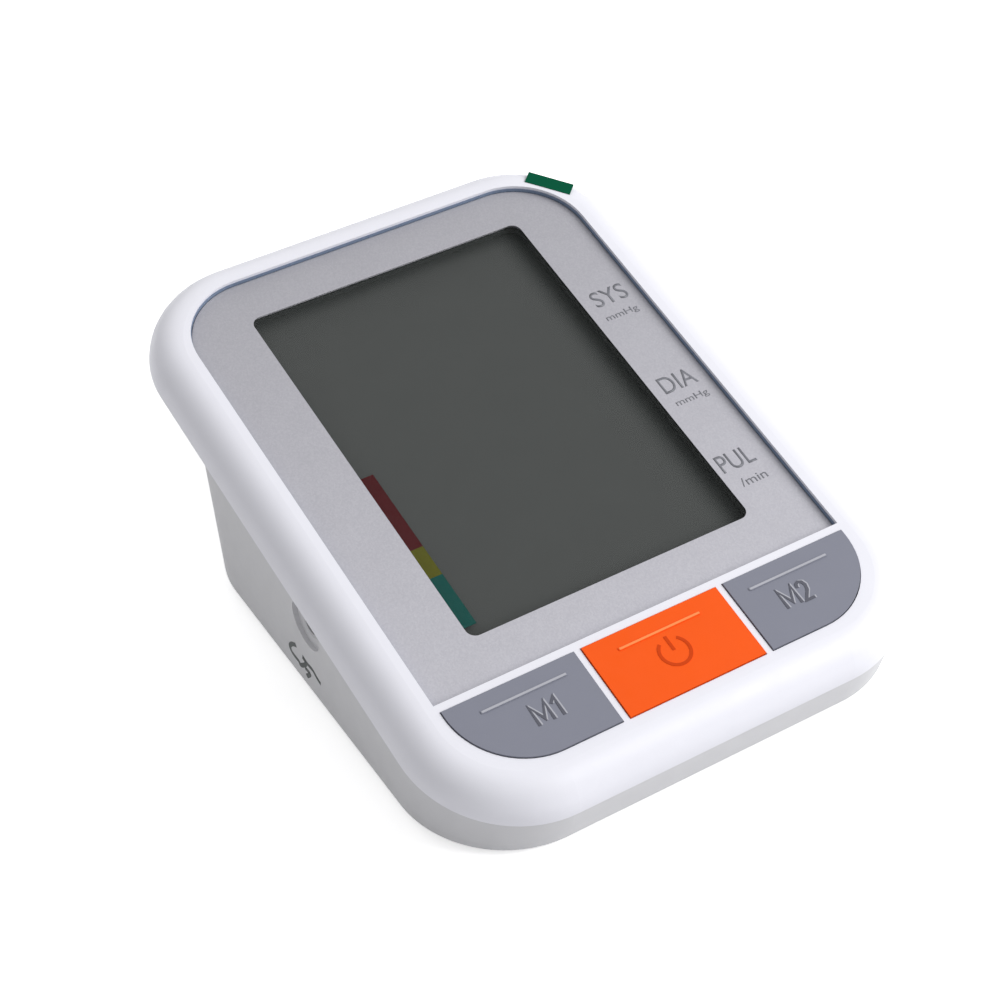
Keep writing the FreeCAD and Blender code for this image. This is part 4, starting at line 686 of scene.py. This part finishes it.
NODE_FINISHES: dict[str, Finish] = {
    "upper_casing": WHITE_ABS,
    "lower_casing": GREY_ABS,
    "battery_door": GREY_ABS,
    "film_pull_tab": GREEN_FILM,
    "display_lens": LENS_ACRYLIC,
    "lcd_glass": DISPLAY_GLASS,
    "pressure_level_strip": LEVEL_SCALE,
    "lcd_holder": HOLDER_WHITE,
    "lcd_connector_strip": ZEBRA,
    "m1_key": GREY_KEY_ABS,
    "m2_key": GREY_KEY_ABS,
    "power_key": ORANGE_KEY_ABS,
    "m1_switch_stem": BLACK_ABS,
    "m2_switch_stem": BLACK_ABS,
    "power_switch_stem": BLACK_ABS,
    "tact_switches": BLACK_ABS,
    "circuit_board": BOARD,
    "board_screws": ZINC_STEEL,
    "casing_screws": ZINC_STEEL,
    "microcontroller": CHIP,
    "buzzer": BLACK_ABS,
    "supply_capacitor": CAPACITOR,
    "wire_header": NATURAL_NYLON,
    "pressure_sensor": SENSOR_WHITE,
    "rubber_feet": FOOT_RUBBER,
    "aa_cells": CELL_JACKET,
    "battery_contacts": NICKEL_STEEL,
    "battery_springs": NICKEL_STEEL,
    "pump_motor_can": CAN_STEEL,
    "pump_magnet_ring": FERRITE,
    "pump_rotor": STACK_STEEL,
    "pump_head": BLACK_ABS,
    "air_socket": SOCKET_ABS,
    "air_manifold": BLACK_ABS,
    "socket_hose": SILICONE,
    "valve_hose": SILICONE,
    "pump_hose": SILICONE,
    "sensor_hose": SILICONE,
    "valve_frame": CAN_STEEL,
    "valve_coil": COPPER_COIL,
    "valve_plunger": ZINC_STEEL,
    "valve_seat": BLACK_ABS,
    "power_jack": BLACK_ABS,
    "pump_leads": RED_WIRE,
    "valve_leads": BLACK_WIRE,
}


class KeyTone(Enum):
    """Colour of a key's plastic, which decides the finishes of what is raised on it."""

    GREY = "grey"
    ORANGE = "orange"

    def mark(self) -> Finish:
        """Finish of the raised signs, darkened with painted shade."""
        return ORANGE_MARK_SHADE if self is KeyTone.ORANGE else GREY_MARK_SHADE

    def glint(self) -> Finish:
        """Finish of the painted highlights."""
        return ORANGE_GLINT if self is KeyTone.ORANGE else GREY_GLINT


class FinishShop:
    """Builds each finish once and hands out its material."""

    def __init__(self) -> None:
        """Start with no materials made."""
        self.made: dict[str, bpy.types.Material] = {}

    def material(self, finish: Finish) -> bpy.types.Material:
        """Hand out the material of a finish, made at its first use.

        Args:
            finish: the finish wanted.

        Returns:
            Its material.
        """
        if finish.name not in self.made:
            self.made[finish.name] = finish.build()
        return self.made[finish.name]

    def dress(self, piece: bpy.types.Object, finish: Finish) -> None:
        """Give a piece one finish all over.

        Args:
            piece: a mesh object.
            finish: the finish it gets.
        """
        piece.data.materials.clear()
        piece.data.materials.append(self.material(finish))
        LOG.info("%s: dressed in %s", piece.name, finish.name)


# -------------------------------------------------------------------------------- pieces


def new_piece(
    name: str, mesh: bmesh.types.BMesh, body: str, place: Matrix | None = None
) -> bpy.types.Object:
    """Turn a bmesh into a piece that rides on a body.

    Args:
        name: the piece's name.
        mesh: its shape, freed here.
        body: the body that it rides on.
        place: matrix applied to the mesh, so that the object stays at the origin.

    Returns:
        The new object.
    """
    if place is not None:
        bmesh.ops.transform(mesh, matrix=place, verts=mesh.verts)
    bmesh.ops.recalc_face_normals(mesh, faces=mesh.faces)
    data = bpy.data.meshes.new(name)
    mesh.to_mesh(data)
    mesh.free()
    piece = bpy.data.objects.new(name, data)
    bpy.context.scene.collection.objects.link(piece)
    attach(piece, body)
    LOG.info("%s: %d faces on %s", name, len(data.polygons), body)
    return piece


@dataclass(frozen=True)
class Panel:
    """Rectangle with rounded corners, in face millimetres.

    radii runs front left, front right, back right, back left. Each corner gets corner_steps
    short edges, and no radius shrinks below sharp.
    """

    left: float
    right: float
    front: float
    back: float
    radii: tuple[float, float, float, float]
    corner_steps: int = 14
    sharp: float = 0.05

    def grown(self, change: float) -> "Panel":
        """Move every side outwards.

        Args:
            change: how far, in millimetres; less than 0 moves them inwards.

        Returns:
            The new panel.
        """
        radii = tuple(max(radius + change, self.sharp) for radius in self.radii)
        return Panel(
            self.left - change,
            self.right + change,
            self.front - change,
            self.back + change,
            radii,
        )

    def face(self, mesh: bmesh.types.BMesh, height: float) -> list[bmesh.types.BMEdge]:
        """Draw the panel's outline at a height.

        Args:
            mesh: the bmesh to draw in.
            height: height out of the face, in millimetres.

        Returns:
            The outline's edges, with no face between them.
        """
        grid = bmesh.ops.create_grid(mesh, x_segments=1, y_segments=1, size=1.0)
        corners = {}
        for vert in grid["verts"]:
            right, back = vert.co.x > 0, vert.co.y > 0
            vert.co = Vector(
                (self.right if right else self.left, self.back if back else self.front, height)
            )
            corners[(right, back)] = vert
        order = [(False, False), (True, False), (True, True), (False, True)]
        faces = set(grid["verts"][0].link_faces)
        for key, radius in zip(order, self.radii):
            made = bmesh.ops.bevel(
                mesh,
                geom=[corners[key]],
                offset=radius,
                offset_type="OFFSET",
                segments=self.corner_steps,
                profile=0.5,
                affect="VERTICES",
                material=-1,
            )
            faces = {f for v in made["verts"] for f in v.link_faces} or faces
        sheet = next(iter(faces))
        edges = list(sheet.edges)
        bmesh.ops.delete(mesh, geom=[sheet], context="FACES_ONLY")
        return edges


def thick_sheet(mesh: bmesh.types.BMesh, faces: list[bmesh.types.BMFace], rise: float) -> None:
    """Give flat faces a thickness along the face's normal.

    Args:
        mesh: the bmesh.
        faces: the faces to raise.
        rise: how far, in millimetres.
    """
    made = bmesh.ops.extrude_face_region(mesh, geom=faces, use_keep_orig=True)
    verts = [item for item in made["geom"] if isinstance(item, bmesh.types.BMVert)]
    bmesh.ops.translate(mesh, verts=verts, vec=(0.0, 0.0, rise))


def smooth_line(points: list[tuple[float, float]], steps: int = 6) -> list[Vector]:
    """Round a line of points off into a curve that passes through them.

    Args:
        points: the places that the line visits.
        steps: how many short steps each stretch gets.

    Returns:
        The closer points of the curve.
    """
    padded = [Vector(point) for point in (points[0], *points, points[-1])]
    line = []
    for before, start, end, after in zip(padded, padded[1:], padded[2:], padded[3:]):
        for step in range(steps):
            share = step / steps
            bend = 2 * before - 5 * start + 4 * end - after
            twist = 3 * (start - end) + after - before
            line.append(
                start
                + ((end - before) * share + bend * share**2 + twist * share**3) / 2
            )
    return [*line, padded[-1]]


def ribbon(mesh: bmesh.types.BMesh, line: list[Vector], width: float) -> None:
    """Lay a flat strip of even width along a line, with mitred corners.

    Args:
        mesh: the bmesh to draw in.
        line: the strip's middle line.
        width: its width.
    """
    sides = []
    for rank, here in enumerate(line):
        before = (here - line[rank - 1]).normalized() if rank else Vector((0.0, 0.0))
        after = (line[rank + 1] - here).normalized() if here != line[-1] else before
        along = (before + after).normalized()
        reach = width / 2 / max(along.dot(after), 0.5)
        across = Vector((-along.y, along.x)) * reach
        sides.append((here + across, here - across))
    first = bmesh.ops.create_grid(mesh, x_segments=1, y_segments=1, size=0.5)["verts"]
    for vert in first:
        vert.co = (*sides[vert.co.y > 0][vert.co.x > 0], 0.0)
    near_end = [vert for vert in first if vert.co.xy in [Vector(side) for side in sides[1]]]
    edge = mesh.edges.get(near_end)
    for last, pair in zip(sides[1:], sides[2:]):
        made = bmesh.ops.extrude_edge_only(mesh, edges=[edge])["geom"]
        ends = [item for item in made if isinstance(item, bmesh.types.BMVert)]
        for vert in ends:
            nearer_second = (vert.co.xy - last[1]).length < (vert.co.xy - last[0]).length
            vert.co = (*pair[nearer_second], 0.0)
        edge = mesh.edges.get(ends)


@dataclass
class LensTrim:
    """Printed panel, edge band and display shroud that lie at the lens. The band and the shroud
    carry painted shade.

    Lengths are in face millimetres.
    """

    lens: Panel = Panel(-44.55, 44.55, 27.35, 133.15, (0.8, 0.8, 14.85, 14.85))
    window: Panel = Panel(-30.8, 31.6, 37.3, 123.5, (2.0, 2.0, 2.0, 2.0))
    lens_top: float = -1.5
    lens_under: float = -3.0
    glass_top: float = -4.2
    ink_thickness: float = 0.05
    edge_thickness: float = 0.12
    edge_top: float = -0.65
    shroud_margin: float = 0.95
    shroud_thickness: float = 0.4
    shroud_play: float = 0.02

    def build(self, shop: FinishShop) -> None:
        """Make and dress the three pieces.

        Args:
            shop: where the finishes come from.
        """
        shop.dress(self.printed_panel(), SILVER_INK)
        # The edge band's dull blue is painted shade.
        shop.dress(self.edge_band(), LENS_EDGE_SHADE)
        # The shroud's dark colour is painted shade on the walls round the display glass.
        shop.dress(self.shroud(), SHROUD_SHADE)

    def printed_panel(self) -> bpy.types.Object:
        """Make the thin ink layer, with the display window left open.

        Returns:
            The new piece.
        """
        mesh = bmesh.new()
        outer = self.lens.grown(-self.edge_thickness).face(mesh, self.lens_top)
        inner = self.window.face(mesh, self.lens_top)
        ring = bmesh.ops.bridge_loops(mesh, edges=outer + inner)
        thick_sheet(mesh, ring["faces"], self.ink_thickness)
        return new_piece("lens_print", mesh, "monitor", FACE.to_row())

    def edge_band(self) -> bpy.types.Object:
        """Make the band that stands all round the lens's edge; its colour is painted shade.

        Returns:
            The new piece.
        """
        mesh = bmesh.new()
        outer = self.lens.grown(self.edge_thickness).face(mesh, self.lens_top)
        inner = self.lens.face(mesh, self.lens_top)
        ring = bmesh.ops.bridge_loops(mesh, edges=outer + inner)
        thick_sheet(mesh, ring["faces"], self.edge_top - self.lens_top)
        return new_piece("lens_edge_band", mesh, "monitor", FACE.to_row())

    def shroud(self) -> bpy.types.Object:
        """Make the dark frame between the lens and the display glass: painted shade on the walls
        round the display.

        Returns:
            The new piece.
        """
        mesh = bmesh.new()
        foot = self.glass_top + self.shroud_play
        outline = self.window.grown(self.shroud_margin)
        outer = outline.face(mesh, foot)
        inner = outline.grown(-self.shroud_thickness).face(mesh, foot)
        ring = bmesh.ops.bridge_loops(mesh, edges=outer + inner)
        thick_sheet(mesh, ring["faces"], self.lens_under - self.shroud_play - foot)
        return new_piece("display_shroud", mesh, "monitor", FACE.to_row())


@dataclass(frozen=True)
class Word:
    """A printed or raised word, centred at a place on the face, in face millimetres."""

    name: str
    text: str
    centre: tuple[float, float]
    height: float
    width: float
    level: float
    thickness: float
    body: str
    boldness: float = 0.001

    def build(self) -> bpy.types.Object:
        """Make the word as a mesh.

        Returns:
            The new piece.
        """
        curve = bpy.data.curves.new(self.name, "FONT")
        curve.body = self.text
        curve.fill_mode = "BOTH"
        curve.offset = self.boldness
        holder = bpy.data.objects.new(self.name + "_curve", curve)
        bpy.context.scene.collection.objects.link(holder)
        bpy.context.view_layer.update()
        flat = bpy.data.meshes.new_from_object(holder)
        bpy.data.objects.remove(holder)
        mesh = bmesh.new()
        mesh.from_mesh(flat)
        bpy.data.meshes.remove(flat)
        bmesh.ops.remove_doubles(mesh, verts=mesh.verts, dist=1e-5)
        low = [min(vert.co[axis] for vert in mesh.verts) for axis in (0, 1)]
        high = [max(vert.co[axis] for vert in mesh.verts) for axis in (0, 1)]
        tall = self.height / (high[1] - low[1])
        wide = self.width / (high[0] - low[0])
        middle = Vector(((low[0] + high[0]) / 2, (low[1] + high[1]) / 2, 0.0))
        bmesh.ops.translate(mesh, verts=mesh.verts, vec=-middle)
        bmesh.ops.scale(mesh, verts=mesh.verts, vec=(wide, tall, 1.0))
        bmesh.ops.translate(mesh, verts=mesh.verts, vec=(*self.centre, self.level))
        thick_sheet(mesh, list(mesh.faces), self.thickness)
        return new_piece(self.name, mesh, self.body, FACE.to_row())


@dataclass
class Legends:
    """Words printed on the panel and the ring and bar of the middle key."""

    ink_level: float = -1.44
    ink_thickness: float = 0.02
    key_level: float = 0.2
    key_thickness: float = 0.17
    symbol_radius: float = 3.0
    symbol_stroke: float = 0.65
    symbol_centre: tuple[float, float] = (0.1, 17.0)
    symbol_half_gap_deg: float = 38.0
    symbol_steps: int = 40
    bar_length: float = 3.3
    bar_centre: float = 1.86
    panel_words: tuple[tuple[str, str, float, float, float, float], ...] = (
        ("legend_sys", "SYS", 38.1, 97.5, 4.2, 7.9),
        ("legend_sys_unit", "mmHg", 37.9, 92.0, 2.0, 7.6),
        ("legend_dia", "DIA", 37.9, 71.9, 4.2, 7.9),
        ("legend_dia_unit", "mmHg", 38.1, 66.7, 2.0, 7.6),
        ("legend_pul", "PUL", 36.8, 49.9, 4.3, 7.8),
        ("legend_pul_unit", "/min", 37.4, 44.4, 2.0, 6.0),
    )

    def build(self, shop: FinishShop) -> None:
        """Make and dress every word and mark.

        Args:
            shop: where the finishes come from.
        """
        for name, text, x, y, height, width in self.panel_words:
            word = Word(
                name, text, (x, y), height, width, self.ink_level, self.ink_thickness, "monitor"
            )
            shop.dress(word.build(), LEGEND_INK)
        # The power symbol's darker orange is painted shade.
        shop.dress(self.power_symbol(), KeyTone.ORANGE.mark())

    def power_symbol(self) -> bpy.types.Object:
        """Make an open ring with a bar in its gap.

        Returns:
            The new piece.
        """
        mesh = bmesh.new()
        gap = math.radians(self.symbol_half_gap_deg)
        profile = bmesh.ops.create_grid(mesh, x_segments=1, y_segments=1, size=0.5)
        for vert in profile["verts"]:
            across = vert.co.x * self.symbol_stroke
            up = (vert.co.y + 0.5) * self.key_thickness
            radius = self.symbol_radius + across
            vert.co = Vector((radius * math.sin(gap), radius * math.cos(gap), up))
        bmesh.ops.spin(
            mesh,
            geom=list(mesh.verts) + list(mesh.edges) + list(mesh.faces),
            cent=(0.0, 0.0, 0.0),
            axis=(0.0, 0.0, -1.0),
            angle=2 * math.pi - 2 * gap,
            steps=self.symbol_steps,
        )
        bar = bmesh.ops.create_cube(mesh, size=1.0)
        size = (self.symbol_stroke, self.bar_length, self.key_thickness)
        bmesh.ops.scale(mesh, verts=bar["verts"], vec=size)
        shift = (0.0, self.bar_centre, self.key_thickness / 2)
        bmesh.ops.translate(mesh, verts=bar["verts"], vec=shift)
        bmesh.ops.translate(
            mesh, verts=mesh.verts, vec=(*self.symbol_centre, self.key_level)
        )
        return new_piece("legend_power", mesh, "power_button", FACE.to_row())


Stroke = tuple[tuple[float, float], ...]

# Strokes of each sign in its own cell, 1 wide and 1 high, from the front left corner.
SIGN_STROKES: dict[str, tuple[Stroke, ...]] = {
    "M": (((0.0, 0.0), (0.0, 1.0), (0.5, 0.22), (1.0, 1.0), (1.0, 0.0)),),
    "1": (((0.0, 0.72), (0.55, 1.0), (0.55, 0.0)),),
    "2": (
        (
            (0.0, 0.74), (0.12, 0.93), (0.45, 1.0), (0.8, 0.93), (0.95, 0.74),
            (0.8, 0.48), (0.0, 0.0), (1.0, 0.0),
        ),
    ),
}


@dataclass
class KeyMarks:
    """Raised signs in painted shade, with painted highlights beside them and on the ribs of the
    keys, in face millimetres.
    """

    cell_height: float = 4.2
    letter_width: float = 3.1
    digit_width: float = 1.9
    letter_gap: float = 1.0
    stroke: float = 0.62
    level: float = 0.25
    thickness: float = 0.13
    glint_shift: tuple[float, float] = (0.3, 0.04)
    glint_thickness: float = 0.09
    rib_level: float = 0.44
    rib_thickness: float = 0.04
    rib_size: tuple[float, float] = (17.6, 0.44)
    rib_way: float = 21.95
    rib_places: tuple[tuple[str, float, KeyTone], ...] = (
        ("m1_button", -29.1, KeyTone.GREY),
        ("power_button", 0.0, KeyTone.ORANGE),
        ("m2_button", 29.1, KeyTone.GREY),
    )
    sign_places: tuple[tuple[str, str, float, float], ...] = (
        ("m1_button", "M1", -27.1, 16.9),
        ("m2_button", "M2", 27.4, 17.1),
    )

    def build(self, shop: FinishShop) -> None:
        """Make and dress every sign, with its painted highlight, and every rib's painted highlight.

        Args:
            shop: where the finishes come from.
        """
        for body, text, x, y in self.sign_places:
            sign = text.lower()
            dark = self.sign(f"mark_{sign}", text, (x, y), self.thickness, body)
            # Each sign's dark colour is painted shade, and its shifted lighter copy is a painted
            # highlight.
            shop.dress(dark, KeyTone.GREY.mark())
            shifted = (x + self.glint_shift[0], y + self.glint_shift[1])
            light = self.sign(f"glint_{sign}", text, shifted, self.glint_thickness, body)
            shop.dress(light, KeyTone.GREY.glint())
        for body, x, tone in self.rib_places:
            # A painted highlight along the top of each rib.
            shop.dress(self.rib_highlight(body, x), tone.glint())

    def sign(
        self, name: str, text: str, centre: tuple[float, float], thickness: float, body: str
    ) -> bpy.types.Object:
        """Draw a sign's strokes and raise them.

        Args:
            name: the piece's name.
            text: a letter and a digit.
            centre: where its middle lies.
            thickness: how high it is raised.
            body: the key that it rides on.

        Returns:
            The new piece.
        """
        widths = (self.letter_width, self.digit_width)
        total = sum(widths) + self.letter_gap
        left = centre[0] - total / 2
        front = centre[1] - self.cell_height / 2
        mesh = bmesh.new()
        for character, width in zip(text, widths):
            for stroke in SIGN_STROKES[character]:
                line = [
                    Vector((left + x * width, front + y * self.cell_height)) for x, y in stroke
                ]
                ribbon(mesh, line, self.stroke)
            left += width + self.letter_gap
        thick_sheet(mesh, list(mesh.faces), thickness)
        bmesh.ops.translate(mesh, verts=mesh.verts, vec=(0.0, 0.0, self.level))
        return new_piece(name, mesh, body, FACE.to_row())

    def rib_highlight(self, body: str, x: float) -> bpy.types.Object:
        """Make a flat painted highlight along the top of a key's rib.

        Args:
            body: the key that it rides on.
            x: where its middle lies.

        Returns:
            The new piece.
        """
        mesh = bmesh.new()
        bmesh.ops.create_grid(mesh, x_segments=1, y_segments=1, size=0.5)
        bmesh.ops.scale(mesh, verts=mesh.verts, vec=(*self.rib_size, 1.0))
        thick_sheet(mesh, list(mesh.faces), self.rib_thickness)
        bmesh.ops.translate(mesh, verts=mesh.verts, vec=(x, self.rib_way, self.rib_level))
        return new_piece(f"rib_highlight_{body}", mesh, body, FACE.to_row())


@dataclass
class FlankSign:
    """Hose-and-plug sign printed beside the air socket, in millimetres of the left flank.

    A place is the way up the slope and the height below the rim.
    """

    rim_x: float = -53.15
    draft_deg: float = 2.0
    stroke: float = 1.0
    thickness: float = 0.04
    sunk_share: float = 1 / 3
    lines: tuple[Stroke, ...] = (
        (
            (62.5, -21.8), (64.1, -23.5), (64.9, -25.4), (63.9, -26.3), (61.4, -25.8),
            (60.5, -26.0), (58.5, -22.9), (59.9, -22.4),
        ),
        ((59.9, -22.1), (57.9, -22.1), (55.9, -21.5), (54.0, -21.9), (52.7, -21.9)),
        ((58.9, -24.7), (56.9, -24.2), (58.1, -26.6)),
    )

    def build(self, shop: FinishShop) -> None:
        """Make and dress the sign.

        Args:
            shop: where the finishes come from.
        """
        mesh = bmesh.new()
        for line in self.lines:
            ribbon(mesh, smooth_line(list(line)), self.stroke)
        thick_sheet(mesh, list(mesh.faces), self.thickness)
        sink = -self.thickness * self.sunk_share
        bmesh.ops.translate(mesh, verts=mesh.verts, vec=(0.0, 0.0, sink))
        shop.dress(
            new_piece("flank_sign", mesh, "monitor", FACE.to_row() @ self.flank()), SIGN_INK
        )

    def flank(self) -> Matrix:
        """Build the matrix from way up, height and out of the flank to face millimetres.

        Returns:
            The matrix.
        """
        lean = math.tan(math.radians(self.draft_deg))
        return Matrix(
            (
                (0.0, -lean, -1.0, self.rim_x),
                (1.0, 0.0, 0.0, 0.0),
                (0.0, 1.0, -lean, 0.0),
                (0.0, 0.0, 0.0, 1.0),
            )
        )


# --------------------------------------------------------------------------------- stage


@dataclass
class Stage:
    """Floor, lamps, world and camera. Lengths are in metres."""

    camera_place: tuple[float, float, float] = (-0.1769, -0.2929, 0.3127)
    heading_deg: float = 30.53
    pitch_deg: float = -40.64
    roll_deg: float = -1.74
    lens_mm: float = 82.46
    sensor_mm: float = 36.0
    floor_size: float = 6.0
    lamps: dict[str, tuple[tuple[float, float, float], float, float]] = field(
        default_factory=lambda: {
            "key": ((0.85, -0.6, 0.72), 0.9, 14.2),
            "back": ((0.0, 1.04, 0.78), 0.9, 3.2),
        }
    )
    world_strength: float = 0.46
    paper_glow: float = 0.55

    def build(self) -> None:
        """Set up everything round the object."""
        self.camera()
        self.floor()
        self.light()
        self.world()
        bpy.context.scene.view_settings.view_transform = "Standard"

    def camera(self) -> None:
        """Camera at arm's length, above the front left corner."""
        data = bpy.data.cameras.new("camera")
        data.lens = self.lens_mm
        data.sensor_width = self.sensor_mm
        data.clip_start = 0.01
        camera = bpy.data.objects.new("camera", data)
        bpy.context.scene.collection.objects.link(camera)
        turn = (
            Matrix.Rotation(math.radians(-self.heading_deg), 4, "Z")
            @ Matrix.Rotation(math.radians(90 + self.pitch_deg), 4, "X")
            @ Matrix.Rotation(math.radians(self.roll_deg), 4, "Z")
        )
        camera.matrix_world = Matrix.Translation(self.camera_place) @ turn
        bpy.context.scene.camera = camera

    def floor(self) -> None:
        """White floor that keeps a soft shadow."""
        mesh = bmesh.new()
        bmesh.ops.create_grid(mesh, x_segments=1, y_segments=1, size=self.floor_size / 2)
        data = bpy.data.meshes.new("floor")
        mesh.to_mesh(data)
        mesh.free()
        floor = bpy.data.objects.new("floor", data)
        bpy.context.scene.collection.objects.link(floor)
        data.materials.append(self.paper())

    def paper(self) -> bpy.types.Material:
        """Make white paper that glows a little where it is seen and is plain to lamp light.

        Returns:
            The new material.
        """
        material = bpy.data.materials.new("white_paper")
        material.use_nodes = True
        tree = material.node_tree
        tree.nodes.clear()
        seen = seen_by(tree, "Is Camera Ray", "Is Glossy Ray", "Is Transmission Ray")
        plain = add_node(tree, "ShaderNodeBsdfDiffuse", {"Color": linear("D8D8DA")})
        shown = add_node(tree, "ShaderNodeBsdfDiffuse", {"Color": linear("FFFFFF")})
        glow = add_node(
            tree, "ShaderNodeEmission", {"Color": linear("FFFFFF"), "Strength": self.paper_glow}
        )
        lit = add_node(tree, "ShaderNodeAddShader", {0: shown.outputs[0], 1: glow.outputs[0]})
        mixed = add_node(
            tree,
            "ShaderNodeMixShader",
            {0: seen, 1: plain.outputs[0], 2: lit.outputs[0]},
        )
        add_node(tree, "ShaderNodeOutputMaterial", {"Surface": mixed.outputs[0]})
        return material

    def light(self) -> None:
        """Large soft lamps that face the object."""
        for name, (place, size, power) in self.lamps.items():
            data = bpy.data.lights.new(name, "AREA")
            data.shape = "SQUARE"
            data.size = size
            data.energy = power
            lamp = bpy.data.objects.new(name, data)
            bpy.context.scene.collection.objects.link(lamp)
            lamp.location = place
            lamp.rotation_euler = (-Vector(place)).to_track_quat("-Z", "Y").to_euler()

    def world(self) -> None:
        """Even light all round, white where it is seen."""
        world = bpy.data.worlds.new("studio")
        world.use_nodes = True
        tree = world.node_tree
        tree.nodes.clear()
        seen = seen_by(tree, "Is Camera Ray", "Is Transmission Ray")
        dim = add_node(
            tree,
            "ShaderNodeBackground",
            {"Color": linear("FFFFFF"), "Strength": self.world_strength},
        )
        white = add_node(
            tree, "ShaderNodeBackground", {"Color": linear("FFFFFF"), "Strength": 1.0}
        )
        mixed = add_node(
            tree,
            "ShaderNodeMixShader",
            {0: seen, 1: dim.outputs[0], 2: white.outputs[0]},
        )
        add_node(tree, "ShaderNodeOutputWorld", {"Surface": mixed.outputs[0]})
        bpy.context.scene.world = world


def main() -> None:
    """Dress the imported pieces, add the trim and set up the stage."""
    logging.basicConfig(level=logging.INFO, format="%(name)s %(message)s")
    shop = FinishShop()
    for name, finish in NODE_FINISHES.items():
        shop.dress(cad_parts[name], finish)
    LensTrim().build(shop)
    Legends().build(shop)
    KeyMarks().build(shop)
    FlankSign().build(shop)
    Stage().build()


if __name__ == "__main__":
    main()
